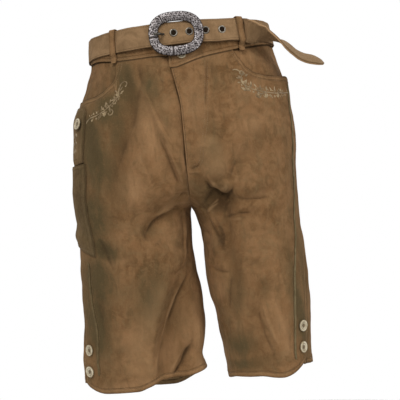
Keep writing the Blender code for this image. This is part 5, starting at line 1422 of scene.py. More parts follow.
def tail_sections(last, section):
    """Sections of the free end, twisting, with a round tip."""
    middle = last.mean(axis=0)
    knots = np.array([middle] + [(p.x, p.y, p.z) for p in TAIL])
    run = distances_along(knots)
    end = run[-1]
    tip = TIP_LENGTH * np.cos(np.linspace(0, np.pi / 2, TIP_POINTS))[1:]
    where = np.concatenate([np.linspace(0, end - TIP_LENGTH, TAIL_POINTS)[1:], end - tip])
    spine = np.stack([curve_through(zip(run, knots[:, k]), where) for k in range(3)], axis=1)
    tilt = np.radians(curve_through(zip(run, [TAIL_LEAN] + [p.tilt for p in TAIL]), where))
    whole, reach = np.concatenate([middle[None], spine]), np.concatenate([[0], where])
    along = unit(np.gradient(whole, reach, axis=0)[1:])
    width = np.stack([0 * tilt, -np.sin(tilt), np.cos(tilt)], axis=1)
    width = unit(width - along * (width * along).sum(axis=1, keepdims=True))
    thick = np.cross(width, along)
    thick *= np.sign(-thick[:1, 1:2])
    left = (end - where)[:, None] / (BELT_WIDTH * 0.55)
    half = BELT_WIDTH / 2 * np.sqrt(np.clip(1 - np.clip(1 - left, 0, 1) ** 2, 0.004, 1))
    thin = BELT_THICK * np.clip(0.35 + left * 9, 0.35, 1)
    # The roll starts past the loop and dies away at the tip.
    rolls = smooth_step(0.0, ROLL_STARTS, where)[:, None] * smooth_step(0.3, 1.2, left)
    roll = ROLL_HIGH * rolled_edge(section) * rolls
    across, through = half * section[:, 0], thin * (section[:, 1] - 0.5) + roll
    return spine[:, None] + width[:, None] * across[..., None] + thick[:, None] * through[..., None]


Loop = namedtuple("Loop", "name leg face from_centre layers")
LOOPS = [
    Loop("belt_loop_front_right", "right", "front", 0.1120, 1),
    Loop("belt_loop_front_left", "left", "front", 0.1175, 2),
    Loop("belt_loop_back_right", "right", "back", 0.110, 1),
    Loop("belt_loop_back_left", "left", "back", 0.110, 1),
    Loop("belt_loop_back", "left", "back", 0.0, 1),
]
LOOP_LOW = -0.0560


def across_the_back(skins, offset, z, out):
    """Points either side of the centre back."""
    left, right = (
        skins[leg].at(-1 + np.clip(towards * offset, 0, None) / skins[leg].length(z, "back"), z, out)[0]
        for leg, towards in (("left", 1), ("right", -1))
    )
    offset, middle = offset[..., None], (left + right) / 2
    return np.where(offset > 0, left, np.where(offset < 0, right, middle))


def rounded_path(corners, radius, arc=7, straight=5):
    """A path through corners with each bend rounded, as pairs of height and distance out."""
    corners = np.array(corners, float)
    path = [corners[0]]

    def from_corner(corner, end):
        return corner + unit(end - corner) * min(radius, np.linalg.norm(end - corner) / 2)

    for before, corner, after in zip(corners, corners[1:], corners[2:]):
        leave, join = from_corner(corner, before), from_corner(corner, after)
        gap = np.linspace(0, 1, straight)[1:-1, None]
        path += list(path[-1] + (leave - path[-1]) * gap)
        t = np.linspace(0, 1, arc)[:, None]
        path += list((1 - t) ** 2 * leave + 2 * t * (1 - t) * corner + t * t * join)
    gap = np.linspace(0, 1, straight + 3)[1:, None]
    return np.array(path + list(path[-1] + (corners[-1] - path[-1]) * gap))


def loop_places(loop, skins, sides, z, away):
    skin = skins[loop.leg]
    if loop.from_centre == 0:
        return across_the_back(skins, sides, z, away)
    length = skin.length(BELT_Z, loop.face)
    distance = (length - loop.from_centre) * (1 if loop.face == "front" else -1) + sides
    return skin.at(skin.across(distance, BELT_Z), z, away)[0]


LOOP_CLEAR = 0.0004  # over the belt
LOOP_BEND = 0.0030
LOOP_EDGE = 1.2  # millimetres added to its distances from an edge, as its edges are cut and not turned
LOOP_INSET = 0.0021


def loop_line(layers):
    """The middle of a loop's thickness, from inside the waistband over the belt to the waist seam."""
    half = LOOP_THICK / 2
    over = BELT_INNER + layers * (BELT_THICK + BELT_FLOAT) + LOOP_CLEAR + half
    on_band = BAND_OUT + BELT_FLOAT + half
    top, low = BELT_Z + BELT_WIDTH / 2, BELT_Z - BELT_WIDTH / 2
    return rounded_path([
        (top + 0.0019, BAND_OUT - BAND_THICK + 0.0002), (top + 0.0019, over), (BELT_Z, over + 0.0004),
        (low - 0.0014, over), (low - 0.0068, on_band), (LOOP_LOW, on_band),
    ], LOOP_BEND)


def make_loop(loop, skins, finish, thread):
    """A strip over the waistband's top edge and the belt, down to the waist seam, and its stitches."""
    middle = loop_line(loop.layers)
    along = unit(np.gradient(middle, axis=0))
    square = np.stack([along[:, 1], -along[:, 0]], axis=1)
    section = strap_section(LOOP_WIDTH / 2, LOOP_THICK, 0.0007, 3, 5)
    rings = []
    for share_w, share_t in section:
        line = middle + square * (share_t - 0.5) * LOOP_THICK
        sides = np.full(len(middle), share_w * LOOP_WIDTH / 2 + 1e-7)
        rings.append(loop_places(loop, skins, sides, line[:, 0], line[:, 1]))
    points = np.stack(rings, axis=1)
    total = len(points) * len(section)
    marks = {
        "edge": np.tile((1 - np.abs(section[:, 0])) * LOOP_WIDTH / 2 * 1000 + LOOP_EDGE, len(points)),
        "fold": np.zeros(total),
        "stain": np.zeros((total, 3)),
        "inside": np.zeros(total),
    }
    faces = tube_faces(*points.shape[:2])
    add_piece(loop.name + "_strip", points, faces, finish, [loop.name], 50, marks)
    pile = Pile()
    z, out = (middle[9:-1] + square[9:-1] * LOOP_THICK / 2).T
    for side in (-1, 1):
        sides = np.full(len(z), side * (LOOP_WIDTH / 2 - LOOP_INSET))
        path, beside = (loop_places(loop, skins, sides, z, out + lift) for lift in (0, 0.001))
        stitch_row(pile, path, beside - path)
    pile.piece(loop.name + "_stitches", thread, "suede")


# ---------------------------------------------------------------- buckle, prong and eyelets

BUCKLE_X, BUCKLE_Z = -0.0037, -0.0200
BUCKLE_HALF_WIDTH, BUCKLE_HALF_HEIGHT = 0.0478, 0.0385
FRAME_WIDTH, FRAME_THICK = 0.0165, 0.0062
FRAME_POWER = 2.6
FRAME_OUT = BELT_OUTER + BELT_THICK + 0.0021


FACE_PLACES = np.linspace(0.4, 1, 241)  # across each leg's front, as far as the buckle and eyelets reach


def front_face(skins, x, z, out):
    """The points straight in front of x and z, out of the cloth by out along -Y."""
    x, z = np.broadcast_arrays(np.asarray(x, float), np.asarray(z, float))
    z_in = np.minimum(z, Skin.TOP - 0.003)
    y = np.zeros(x.shape)
    for place in np.ndindex(x.shape):
        skin = skins["right"] if x[place] < CENTRE_X else skins["left"]
        line, _ = skin.at(FACE_PLACES, np.full(len(FACE_PLACES), z_in[place]))
        order = np.argsort(line[:, 0])
        y[place] = np.interp(x[place], line[order, 0], line[order, 1])
    return np.stack([x, y - out, z], axis=-1)


FRAME_TURNS, FRAME_ACROSS = 720, 41
BACK_SHINE = 0.6  # the plain back is bare metal, between the leaves' tops and the hollows
LEAF_ROWS = (-0.72, -0.26, 0.24, 0.70)  # places across the frame of its rows of leaves
LEAF_COUNT = 58  # in each row
LEAF_LONG, LEAF_WIDE = 0.37, 0.175  # half of each, in half widths of the frame
BREAKS = ((128, 3.2), (186, 5.5), (259, 5.0))  # where the scrolls part: angle from +X and width, degrees
HALF_WIDTHS = 5.0  # of the frame, in one radian of the ring
BEAD_ROWS = (-0.86, -0.05, 0.05, 0.88)  # places across the frame of its beads


def turn_between(turn, centre):
    """The turn from centre to turn, the shorter way round."""
    return np.mod(turn - centre + math.pi, 2 * math.pi) - math.pi


def frame_relief(turn, across):
    """How high the cast leaves stand, from 0 in the hollows to 1, over the ring's angle and width."""
    seed = np.random.default_rng(5)
    height = np.zeros(np.broadcast(turn, across).shape)
    pitch = 2 * math.pi / LEAF_COUNT
    for row, place in enumerate(LEAF_ROWS):
        for number in range(LEAF_COUNT):
            centre = (number + 0.5 * row + seed.uniform(-0.12, 0.12)) * pitch
            lean = math.radians(seed.uniform(28, 62)) * (1 if (number + row) % 2 else -1)
            size = seed.uniform(0.86, 1.16)
            u = turn_between(turn, centre) * HALF_WIDTHS
            v = across - place - seed.uniform(-0.07, 0.07)
            along = u * math.cos(lean) + v * math.sin(lean)
            aside = -u * math.sin(lean) + v * math.cos(lean)
            long, wide = LEAF_LONG * size, LEAF_WIDE * size
            taper = wide * (1.25 - 0.5 * along / long)
            shape = np.clip(1 - (along / long) ** 2 - (aside / taper) ** 2, 0, 1)
            vein = 0.30 * np.exp(-((aside / 0.036) ** 2))
            ribs = 0.14 * np.cos(along * 52 + np.abs(aside) * 40)
            leaf = shape**0.45 * (0.86 - vein + ribs * shape) * size
            height = np.maximum(height, leaf)
    for number in range(LEAF_COUNT):
        centre = seed.uniform(0, 2 * math.pi)
        place = seed.choice(BEAD_ROWS) + seed.uniform(-0.06, 0.06)
        u = turn_between(turn, centre) * HALF_WIDTHS
        far = np.hypot(u, across - place) / seed.uniform(0.10, 0.17)
        height = np.maximum(height, 0.80 * np.sqrt(np.clip(1 - far**2, 0, 1)))
    for angle, wide in BREAKS:
        off = np.degrees(turn_between(turn, math.radians(angle)))
        height = height * (1 - 0.9 * np.exp(-((off / (wide * 0.4)) ** 2)))
        lip = np.exp(-(((np.abs(off) - wide * 0.9) / (wide * 0.35)) ** 2))
        height = np.maximum(height, 0.95 * lip * np.sqrt(np.clip(1 - across**2, 0, 1)))
    return height


def superellipse(turn, half_x, half_z):
    cosine, sine = np.cos(turn), np.sin(turn)
    x = half_x * np.sign(cosine) * np.abs(cosine) ** (2 / FRAME_POWER)
    return x, half_z * np.sign(sine) * np.abs(sine) ** (2 / FRAME_POWER)


def make_buckle(skins, finish):
    """The cast oval ring: a domed section carrying the relief, on a flat back."""
    places = np.arange(FRAME_TURNS + 1)
    even_turn = 2 * math.pi * places / FRAME_TURNS
    half_x, half_z = BUCKLE_HALF_WIDTH - FRAME_WIDTH / 2, BUCKLE_HALF_HEIGHT - FRAME_WIDTH / 2
    # Spread the places evenly along the ring.
    run = distances_along(np.stack(superellipse(even_turn, half_x, half_z), axis=1))
    even = np.interp(np.linspace(0, run[-1], FRAME_TURNS + 1)[:-1], run, places)
    x, z = superellipse(2 * math.pi * even / FRAME_TURNS, half_x, half_z)
    out_x, out_z = (
        np.sign(place) * np.abs(place / half) ** (FRAME_POWER - 1) / half
        for place, half in ((x, half_x), (z, half_z))
    )
    side = unit(np.stack([out_x, 0 * x, out_z], axis=1))[:, None]
    centre = front_face(skins, BUCKLE_X + x, BUCKLE_Z + z, FRAME_OUT)[:, None]
    crowded = np.sin(np.linspace(-math.pi / 2, math.pi / 2, FRAME_ACROSS))  # closer together at the edges
    across = crowded * 0.35 + np.linspace(-1, 1, FRAME_ACROSS) * 0.65
    relief = frame_relief(even_turn[:-1, None], across[None, :])
    dome = 0.30 + 0.52 * np.sqrt(np.clip(1 - (across / 1.04) ** 2, 0, 1))
    edge = smooth_step(1.0, 0.90, np.abs(across))
    high = (dome - 0.14 + 0.17 * relief * edge) * FRAME_THICK
    scallop = 1 + 0.030 * np.clip(relief[:, [1, -2]], 0, 1)
    reach = across * np.where(across > 0, scallop[:, 1:], scallop[:, :1])
    front = centre + side * (reach * FRAME_WIDTH / 2)[..., None] + np.array([0, -1.0, 0]) * high[..., None]
    back_reach = np.array([1.0, 0.5, 0.0, -0.5, -1.0])
    points = np.concatenate([front, centre + side * (back_reach * FRAME_WIDTH / 2)[:, None]], axis=1)
    back_shine = np.tile(BACK_SHINE * (np.abs(back_reach) < 1), (FRAME_TURNS, 1))
    shine = np.concatenate([relief * edge, back_shine], axis=1)
    faces, marks = ring_faces(*points.shape[:2]), {"relief": shine.ravel()}
    add_piece("buckle_relief", points, faces, finish, ["buckle_frame"], 80, marks)


ProngPoint = namedtuple("ProngPoint", "x over_strap radius")
PRONG = [
    ProngPoint(-0.0235, 0.0022, 0.0016),
    ProngPoint(-0.0275, 0.0026, 0.0020),
    ProngPoint(-0.0305, 0.0072, 0.0023),
    ProngPoint(-0.0345, 0.0108, 0.0024),
    ProngPoint(-0.0390, 0.0119, 0.0023),
    ProngPoint(-0.0425, 0.0119, 0.0018),
]
PRONG_POINTS, PRONG_SIDES = 60, 20


def make_prong(skins, finish):
    strap = BELT_OUTER + BELT_THICK
    spine = smooth_path([front_face(skins, p.x, BELT_Z, strap + p.over_strap) for p in PRONG], PRONG_POINTS)
    numbers = np.arange(PRONG_POINTS)
    knots = np.linspace(0, PRONG_POINTS - 1, len(PRONG))
    radius = np.interp(numbers, knots, [p.radius for p in PRONG])
    radius = radius * np.sqrt(np.clip((np.minimum(numbers, numbers[::-1]) + 0.3) / 4, 0, 1))
    points, faces = tube(spine, np.array([[0, 0, 1.0]]), radius, PRONG_SIDES)
    add_piece("buckle_prong_bar", points, faces, finish, ["buckle_prong"])


EYELET_RADIUS, EYELET_BODY = 0.0056, 0.0014
EYELET_FIRST, EYELET_PITCH, EYELET_COUNT = -0.0085, 0.0275, 4
EYELET_Z = BELT_Z + 0.0010
EYELET_UP = 0.0002  # from the strap's face to the roll's foot
EYELET_HIGH = 0.0012  # the roll's height over its foot
EYELET_HOLE_UP = 0.00022  # from the roll's foot to the hole's dark disc
EYELET_SIDES = 56


def make_eyelets(skins, finish, hole_shade):
    turns = 2 * math.pi * np.arange(EYELET_SIDES) / EYELET_SIDES
    roll = np.linspace(0, math.pi, 11)
    hole_shades = Pile()
    for number in range(EYELET_COUNT):
        x = EYELET_FIRST + number * EYELET_PITCH
        middle = front_face(skins, x, EYELET_Z, 0)
        level = unit(front_face(skins, x + 0.002, EYELET_Z, 0) - middle)
        normal = np.cross(level, [0, 0, 1.0])
        middle = middle + normal * (BELT_OUTER + BELT_THICK + EYELET_UP)
        away = level * np.cos(turns)[:, None] + np.array([0, 0, 1.0]) * np.sin(turns)[:, None]
        reach = EYELET_RADIUS + EYELET_BODY * np.cos(roll)
        points = middle + away[:, None] * reach[:, None] + normal * (EYELET_HIGH * np.sin(roll))[:, None]
        faces = ring_faces(EYELET_SIDES, len(roll))
        add_piece(f"eyelet_ring_{number + 1}", points, faces, finish, [f"eyelet_{number + 1}"])
        # The hole: a disc of painted shade inside the roll.
        inner = away * (EYELET_RADIUS - EYELET_BODY * 0.8)
        disc = [middle + normal * EYELET_HOLE_UP + inner, middle - normal * HOLE_DEPTH + inner]
        hole_shades.add(np.concatenate(disc), tube_faces(2, EYELET_SIDES))
    hole_shades.piece("eyelet_holes", hole_shade, "belt_suede")


# ---------------------------------------------------------------- finishes


def rgb(red, green, blue):
    """A colour given as on screen, from 0 to 255, as Blender's linear one."""
    values = [value / 255 for value in (red, green, blue)]
    return [v / 12.92 if v <= 0.04045 else ((v + 0.055) / 1.055) ** 2.4 for v in values] + [1.0]


class Finish:
    """A procedural material, wired up from socket to socket."""

    def __init__(self, name, roughness, specular=0.2, metallic=0.0):
        self.material = bpy.data.materials.new(name)
        self.material.use_nodes = True
        self.tree = self.material.node_tree
        self.tree.nodes.clear()
        self.shader = self.node("ShaderNodeBsdfPrincipled")
        self.shader.inputs["Roughness"].default_value = roughness
        self.shader.inputs["Specular IOR Level"].default_value = specular
        self.shader.inputs["Metallic"].default_value = metallic
        out = self.node("ShaderNodeOutputMaterial")
        self.tree.links.new(self.shader.outputs[0], out.inputs["Surface"])
        self.place = self.node("ShaderNodeTexCoord").outputs["Object"]
        self.tone = None

    def node(self, kind, **settings):
        made = self.tree.nodes.new(kind)
        for key, value in settings.items():
            setattr(made, key, value)
        return made

    def feed(self, value, socket):
        """Links a socket's output, or sets a plain number or colour."""
        if isinstance(value, bpy.types.NodeSocket):
            self.tree.links.new(value, socket)
        else:
            socket.default_value = value

    def mark(self, name, output="Fac"):
        """A mark on the mesh's points."""
        return self.node("ShaderNodeAttribute", attribute_name=name).outputs[output]

    def noise(self, scale, detail=3.0, rough=0.55, warp=0.0, stretch=(1, 1, 1)):
        mapping = self.node("ShaderNodeMapping")
        self.feed(self.place, mapping.inputs["Vector"])
        mapping.inputs["Scale"].default_value = stretch
        made = self.node("ShaderNodeTexNoise")
        self.feed(mapping.outputs[0], made.inputs["Vector"])
        settings = {"Scale": scale, "Detail": detail, "Roughness": rough, "Distortion": warp}
        for key, value in settings.items():
            made.inputs[key].default_value = value
        return made.outputs["Fac"]

    def maths(self, operation, first, second=0.0, clamp=False):
        made = self.node("ShaderNodeMath", operation=operation, use_clamp=clamp)
        self.feed(first, made.inputs[0])
        self.feed(second, made.inputs[1])
        return made.outputs[0]

    def times(self, first, second, clamp=False):
        return self.maths("MULTIPLY", first, second, clamp)

    def span(self, value, low, high, to_low=0.0, to_high=1.0):
        made = self.node("ShaderNodeMapRange", interpolation_type="SMOOTHSTEP")
        for number, item in enumerate((value, low, high, to_low, to_high)):
            self.feed(item, made.inputs[number])
        return made.outputs[0]

    def near(self, value, centre, width):
        """1 where value is at centre, falling to 0 at width away."""
        off = self.maths("ABSOLUTE", self.maths("SUBTRACT", value, centre))
        return self.span(off, width, 0.0)

    def blend(self, share, first, second):
        made = self.node("ShaderNodeMix", data_type="RGBA", blend_type="MIX")
        for number, item in ((0, share), (6, first), (7, second)):
            self.feed(item, made.inputs[number])
        return made.outputs[2]

    def cover(self, share, colour):
        """Blends a colour over the tone so far."""
        self.tone = self.blend(share, self.tone, colour)

    def lay(self, *layers):
        """Lays colours over the tone so far, each by up to its share as its value goes from low to high."""
        for value, low, high, most, colour in layers:
            self.cover(self.span(value, low, high, 0, most), colour)

    def start(self, value, low, high, first, second):
        self.tone = self.blend(self.span(value, low, high), first, second)

    def set(self, **values):
        for key, value in values.items():
            self.shader.inputs[key.replace("_", " ")].default_value = value

    def done(self, *bumps):
        """The material, with its colour set and its bumps: for each a height, and a depth in metres."""
        self.feed(self.tone, self.shader.inputs["Base Color"])
        normal = self.shader.inputs["Normal"]
        for height, depth in bumps:
            made = self.node("ShaderNodeBump")
            made.inputs["Strength"].default_value = 1.0
            made.inputs["Distance"].default_value = depth
            self.feed(height, made.inputs["Height"])
            if normal.is_linked:
                self.tree.links.new(normal.links[0].from_socket, made.inputs["Normal"])
            self.tree.links.new(made.outputs[0], normal)
        return self.material


Tones = namedtuple("Tones", "deep base pale olive dark light inside worn warm cool")
SUEDE_TONES = Tones(*(rgb(*tone) for tone in (
    (103, 75, 46), (130, 97, 64), (149, 113, 77), (84, 71, 46), (42, 30, 17), (172, 133, 94), (108, 88, 60),
    (164, 130, 92), (122, 84, 50), (126, 104, 72),
)))
FLAP_TONES = Tones(*(rgb(*tone) for tone in (
    (94, 72, 46), (120, 96, 66), (142, 116, 84), (84, 70, 45), (44, 32, 19), (154, 128, 94), (130, 106, 78),
    (156, 130, 96), (112, 84, 54), (116, 98, 68),
)))
POCKET_TONES = Tones(*(rgb(*tone) for tone in (
    (80, 62, 40), (102, 82, 55), (122, 100, 70), (78, 66, 42), (40, 30, 18), (134, 112, 80), (122, 100, 72),
    (138, 116, 84), (96, 72, 46), (100, 86, 60),
)))


def suede_finish(name, tones, rim=1.0):
    """Old, napped suede: clouded, stained, pale where rubbed and dark where handled, with painted shade in
    its valleys and painted shadow lines under lapped edges.
    """
    made = Finish(name, 0.93, 0.12)
    broad, patch = made.noise(9, 3, 0.55, 0.8), made.noise(36, 5, 0.62, 1.4)
    smear = made.noise(70, 4, 0.60, 0.6, (1, 1, 0.32))
    mottle, tint = made.noise(105, 6, 0.68, 0.5), made.noise(52, 4, 0.58, 1.0)
    speck, nap = made.noise(620, 3, 0.65), made.noise(2400, 2, 0.6)
    lean = made.noise(300, 3, 0.6, 0.0, (1, 1, 0.35))
    edge, fold, crease, seam_and_shadow_line, inside = map(made.mark, ("edge", "fold", "crease", "seam_and_shadow_line", "inside"))
    stains_and_painted_light = made.node("ShaderNodeSeparateXYZ")
    made.feed(made.mark("stain", "Vector"), stains_and_painted_light.inputs[0])
    made.start(patch, 0.38, 0.60, tones.deep, tones.base)
    made.lay(
        (broad, 0.42, 0.62, 0.50, tones.pale), (smear, 0.50, 0.72, 0.40, tones.olive),
        (smear, 0.46, 0.28, 0.40, tones.pale), (mottle, 0.50, 0.70, 0.42, tones.deep),
        (tint, 0.52, 0.64, 0.30, tones.warm), (tint, 0.46, 0.34, 0.28, tones.cool),
        (mottle, 0.48, 0.30, 0.26, tones.pale),
    )
    # The table's stains and its patches of painted light and shade, ragged at their edges.
    cloud = made.maths("ADD", made.times(patch, 0.5), made.times(smear, 0.5))
    ragged = made.span(cloud, 0.36, 0.62, 0.78, 1.30)
    wear_and_painted_light_ragged = made.span(cloud, 0.64, 0.40, 0.45, 1.20)
    made.cover(made.times(stains_and_painted_light.outputs[2], wear_and_painted_light_ragged, True), tones.light)
    made.cover(made.times(stains_and_painted_light.outputs[0], ragged, True), tones.olive)
    made.cover(made.times(stains_and_painted_light.outputs[1], ragged, True), tones.dark)
    # Ridges are rubbed pale; valleys get painted shade, darker the deeper they are.
    made.lay(
        (fold, 1.5, 9.0, 0.30, tones.worn), (fold, -1.0, -9.0, 0.40, tones.deep),
        (crease, 0.6, 3.0, 0.42, tones.worn), (crease, -0.8, -4.6, 0.62, tones.dark),
    )
    # Turned edges: a handled rim, a pale ridge, and a darker line in the groove along the stitching. Seams,
    # and the painted shadow lines under lapped edges: a dark line.
    dirt = made.times(made.span(edge, 2.6, 0.3), made.span(patch, 0.35, 0.62, 0.30 * rim, 0.85 * rim))
    groove = made.times(made.near(edge, 8.8, 2.0), made.span(patch, 0.36, 0.60, 0.10 * rim, 0.38 * rim))
    made.cover(made.times(made.near(edge, 5.6, 2.2), 0.30 * rim), tones.worn)
    made.cover(dirt, tones.dark)
    made.cover(groove, tones.deep)
    # The seams' lines with the painted shadow lines under lapped edges, and the fine dark and pale specks
    # of the nap.
    made.lay(
        (seam_and_shadow_line, 7.4, 9.6, 0.78, tones.dark), (speck, 0.56, 0.74, 0.34, tones.deep),
        (speck, 0.44, 0.26, 0.30, tones.worn), (nap, 0.42, 0.66, 0.16, tones.deep),
    )
    made.cover(made.times(inside, 0.75), tones.inside)
    made.set(Sheen_Weight=0.12, Sheen_Roughness=0.55, Sheen_Tint=rgb(216, 180, 138))
    return made.done(
        (made.near(edge, 8.8, 2.2), -0.0011 * rim), (made.span(seam_and_shadow_line, 7.6, 10.0), -0.0014), (smear, 0.0022),
        (mottle, 0.0015), (lean, 0.0008), (speck, 0.0005), (nap, 0.0002),
    )


def belt_finish():
    """The belt: rough-side leather, burnished along its edges and creased where it bends, with painted
    shade on the free end's outer face and a painted highlight on its rolled upper edge.
    """
    made = Finish("belt_suede", 0.86, 0.16)
    patch, mottle = made.noise(34, 4, 0.6, 0.8), made.noise(190, 4, 0.62)
    speck, creases = made.noise(760, 3, 0.65), made.noise(60, 3, 0.6, 0.0, (3.2, 3.2, 0.25))
    edge, flesh, shade, worn = map(made.mark, ("edge", "flesh", "shade", "worn"))
    made.start(patch, 0.34, 0.66, rgb(124, 97, 67), rgb(146, 116, 83))
    made.lay(
        (mottle, 0.50, 0.72, 0.26, rgb(112, 84, 56)), (creases, 0.60, 0.74, 0.30, rgb(100, 74, 48)),
        (speck, 0.56, 0.74, 0.28, rgb(96, 72, 46)), (speck, 0.42, 0.28, 0.24, rgb(180, 146, 108)),
        (edge, 1.6, 0.2, 0.72, rgb(70, 49, 29)),
    )
    made.cover(made.near(edge, 3.4, 0.7), made.blend(0.30, made.tone, rgb(84, 61, 38)))
    made.cover(made.times(flesh, 0.55), rgb(124, 99, 68))
    # Painted shade on the free end's outer face; its rolled edge lighter, burnished and with a painted
    # highlight.
    made.lay((shade, 0, 1, 0.34, rgb(84, 64, 42)), (worn, 0.15, 0.8, 0.75, rgb(184, 147, 108)))
    made.set(Sheen_Weight=0.10, Sheen_Roughness=0.5, Sheen_Tint=rgb(206, 176, 138))
    groove = made.near(edge, 3.4, 0.8)
    return made.done((groove, -0.0005), (mottle, 0.0008), (creases, 0.0010), (speck, 0.0003))


def thread_finish(name, low, high, sheen=0.2):
    """Waxed thread: its twist, and wear from place to place."""
    made = Finish(name, 0.72, 0.25)
    wear, strand = made.noise(90, 3, 0.6), made.noise(3200, 2, 0.6)
    made.start(wear, 0.34, 0.62, low, high)
    made.lay((strand, 0.52, 0.70, 0.45, [part * 0.45 for part in low[:3]] + [1.0]))
    made.set(Sheen_Weight=sheen, Sheen_Roughness=0.4)
    return made.done((strand, 0.00018))


def piping_finish(name, low, high):
    """Thin leather, folded: as stained as the cloth beside it."""
    made = Finish(name, 0.78, 0.2)
    wear, grain = made.noise(120, 3, 0.6), made.noise(1500, 3, 0.6)
    made.start(wear, 0.36, 0.62, low, high)
    made.lay((grain, 0.54, 0.72, 0.4, rgb(64, 52, 32)))
    return made.done((grain, 0.0003))


def horn_finish():
    """Staghorn: cream with fine streaks, darker in the turned groove, and darker in the dish with dirt and
    painted shade.
    """
    made = Finish("horn", 0.38, 0.45)
    dish = made.mark("dish")
    streak = made.noise(260, 4, 0.6, 1.2, (1, 1, 0.22))
    fleck, cloud = made.noise(900, 3, 0.6), made.noise(110, 3, 0.6)
    made.start(streak, 0.36, 0.66, rgb(176, 160, 128), rgb(222, 212, 186))
    made.lay((cloud, 0.46, 0.68, 0.6, rgb(150, 132, 100)), (fleck, 0.58, 0.74, 0.4, rgb(116, 98, 68)))
    made.cover(made.near(dish, 0.62, 0.07), rgb(96, 78, 52))
    # Dirt and painted shade towards the dish's middle; the rim and the back a little darker.
    made.lay((dish, 0.50, 0.30, 0.80, rgb(92, 74, 48)), (dish, 0.94, 1.0, 0.5, rgb(120, 102, 72)))
    return made.done((streak, 0.00025), (fleck, 0.00012))


def silver_finish():
    """Cast old silver: bright on the leaves' tops, black with tarnish between them."""
    made = Finish("silver", 0.42, 0.5, 0.80)
    relief, worn, cloud = made.mark("relief"), made.noise(420, 4, 0.62), made.noise(70, 3, 0.6)
    lift = made.maths("ADD", relief, made.times(made.maths("SUBTRACT", worn, 0.5), 0.36))
    made.start(lift, 0.10, 0.55, rgb(48, 43, 42), rgb(112, 105, 104))
    made.lay((lift, 0.56, 0.90, 1, rgb(172, 166, 165)), (cloud, 0.50, 0.70, 0.25, rgb(118, 106, 96)))
    return made.done((worn, 0.00022))


def nickel_finish():
    made = Finish("nickel", 0.34, 0.5, 0.9)
    worn, cloud = made.noise(520, 4, 0.62), made.noise(150, 3, 0.6)
    made.start(worn, 0.40, 0.68, rgb(150, 143, 132), rgb(104, 96, 84))
    made.lay((cloud, 0.48, 0.68, 0.6, rgb(66, 58, 48)))
    return made.done((worn, 0.00010))


def dark_nickel_finish():
    """The prong, dark with tarnish."""
    made = Finish("dark_nickel", 0.42, 0.5, 0.8)
    worn = made.noise(420, 4, 0.62)
    made.start(worn, 0.38, 0.66, rgb(52, 48, 42), rgb(104, 98, 88))
    return made.done((worn, 0.00012))


def hole_shade_finish():
    """Painted shade: the dark of the shadow inside a button's or an eyelet's hole."""
    made = Finish("hole_shade", 0.95, 0.05)
    grain = made.noise(900, 3, 0.6)
    made.tone = made.blend(grain, rgb(22, 16, 11), rgb(44, 33, 22))
    return made.done((grain, 0.0002))


def floor_finish():
    made = Finish("floor", 0.9, 0.1)
    made.tone = made.blend(made.noise(3, 2), rgb(236, 236, 234), rgb(242, 242, 240))
    return made.done()


# ---------------------------------------------------------------- the camera, the floor and the light

CAMERA_AT = (0.009, -1.7, -0.311)
CAMERA_ROLL = math.radians(5.7)  # the object stands a little turned in the frame
FRAME_WIDTH_AT_PLANE = 0.752  # metres across the picture, in the plane through the middle of the body
SENSOR = 36.0


def set_camera():
    data = bpy.data.cameras.new("camera")
    data.sensor_width = SENSOR
    data.lens = SENSOR * -CAMERA_AT[1] / FRAME_WIDTH_AT_PLANE
    camera = bpy.data.objects.new("camera", data)
    bpy.context.scene.collection.objects.link(camera)
    cosine, sine = math.cos(CAMERA_ROLL), math.sin(CAMERA_ROLL)
    right, up, back = (cosine, 0, -sine), (sine, 0, cosine), (0, -1, 0)
    rows = [[right[k], up[k], back[k], CAMERA_AT[k]] for k in range(3)]
    camera.matrix_world = Matrix(rows + [[0, 0, 0, 1]])
    bpy.context.scene.camera = camera


FLOOR_Z, FLOOR_RADIUS = -0.90, 0.88
ROOM_LIGHT = (0.22, 0.72)  # the strength of the light from below and from above


def set_stage():
    """A round pale floor, small enough to stay out of the picture, and a white room."""
    bpy.ops.mesh.primitive_cylinder_add(vertices=128, radius=FLOOR_RADIUS, depth=0.02,
                                        location=(0, 0, FLOOR_Z - 0.01))
    floor = bpy.context.active_object
    floor.name = "floor"
    floor.data.materials.append(floor_finish())
    world = bpy.data.worlds.new("room")
    bpy.context.scene.world = world
    world.use_nodes = True
    nodes, links = world.node_tree.nodes, world.node_tree.links
    parts = nodes.new("ShaderNodeSeparateXYZ")
    links.new(nodes.new("ShaderNodeTexCoord").outputs["Generated"], parts.inputs[0])
    level = nodes.new("ShaderNodeMapRange")
    for number, value in enumerate((-1.0, 1.0, ROOM_LIGHT[0], ROOM_LIGHT[1])):
        level.inputs[number + 1].default_value = value
    links.new(parts.outputs[2], level.inputs[0])
    # The walls are white to look at, and throw less light than that on the cloth.
    seen = nodes.new("ShaderNodeMix")
    links.new(nodes.new("ShaderNodeLightPath").outputs["Is Camera Ray"], seen.inputs[0])
    links.new(level.outputs[0], seen.inputs[2])
    seen.inputs[3].default_value = 1.0
    links.new(seen.outputs[0], nodes["Background"].inputs["Strength"])
    nodes["Background"].inputs["Color"].default_value = (1, 1, 1, 1)


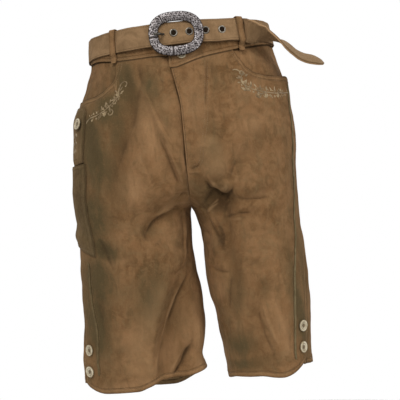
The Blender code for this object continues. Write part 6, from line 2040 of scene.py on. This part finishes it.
Lamp = namedtuple("Lamp", "name at size watts")
LAMPS = [
    Lamp("key", (-0.8, -1.8, 1.3), 0.8, 27.0),
    Lamp("fill", (1.7, -1.4, 0.6), 1.2, 17.0),
    Lamp("back", (0.4, 2.1, 1.2), 1.4, 26.0),
]
AIM = Vector((0.0, 0.0, -0.32))


def set_lights():
    for lamp in LAMPS:
        data = bpy.data.lights.new(lamp.name, "AREA")
        data.size, data.energy = lamp.size, lamp.watts
        light = bpy.data.objects.new(lamp.name, data)
        light.location = lamp.at
        light.rotation_euler = (AIM - Vector(lamp.at)).to_track_quat("-Z", "Y").to_euler()
        bpy.context.scene.collection.objects.link(light)


# ---------------------------------------------------------------- the whole garment


def main():
    bpy.context.scene.view_settings.view_transform = "Standard"
    suede = suede_finish("suede", SUEDE_TONES)
    thread = thread_finish("thread", rgb(106, 80, 52), rgb(148, 121, 88))
    light_thread = thread_finish("light_thread", rgb(92, 74, 50), rgb(130, 108, 78))
    floss = thread_finish("floss", rgb(114, 94, 66), rgb(164, 142, 108), 0.3)
    hole_shade, horn = hole_shade_finish(), horn_finish()
    piping = {
        "right": piping_finish("piping_right", rgb(88, 73, 47), rgb(108, 91, 60)),
        "left": piping_finish("piping_left", rgb(98, 85, 57), rgb(118, 103, 73)),
    }
    skins = {leg: Skin(leg) for leg in ("right", "left")}
    for leg, other in (("right", "left"), ("left", "right")):
        make_front(skins[leg], skins[other], suede)
        make_back(skins[leg], suede)
        make_facing(skins[leg], suede)
        make_waistband(skins[leg], skins[other], suede)
        panel_stitches(skins[leg], skins[other], thread)
        make_piping(skins[leg], piping[leg], thread)
        make_embroidery(skins[leg], floss)
    band_stitches(skins, thread)
    make_knife_pocket(skins["right"], suede_finish("pocket_suede", POCKET_TONES, 0.45))
    make_flap(skins["right"], suede_finish("flap_suede", FLAP_TONES, 0.45))
    pocket_stitches(skins["right"], light_thread)
    make_flap_embroidery(skins["right"], floss)
    for row in buttons(skins):
        make_button(row, skins[row.leg], horn, hole_shade, thread)
    make_belt(skins, belt_finish())
    for loop in LOOPS:
        make_loop(loop, skins, suede, thread)
    make_buckle(skins, silver_finish())
    make_prong(skins, dark_nickel_finish())
    make_eyelets(skins, nickel_finish(), hole_shade)
    set_stage()
    set_lights()
    set_camera()


main()
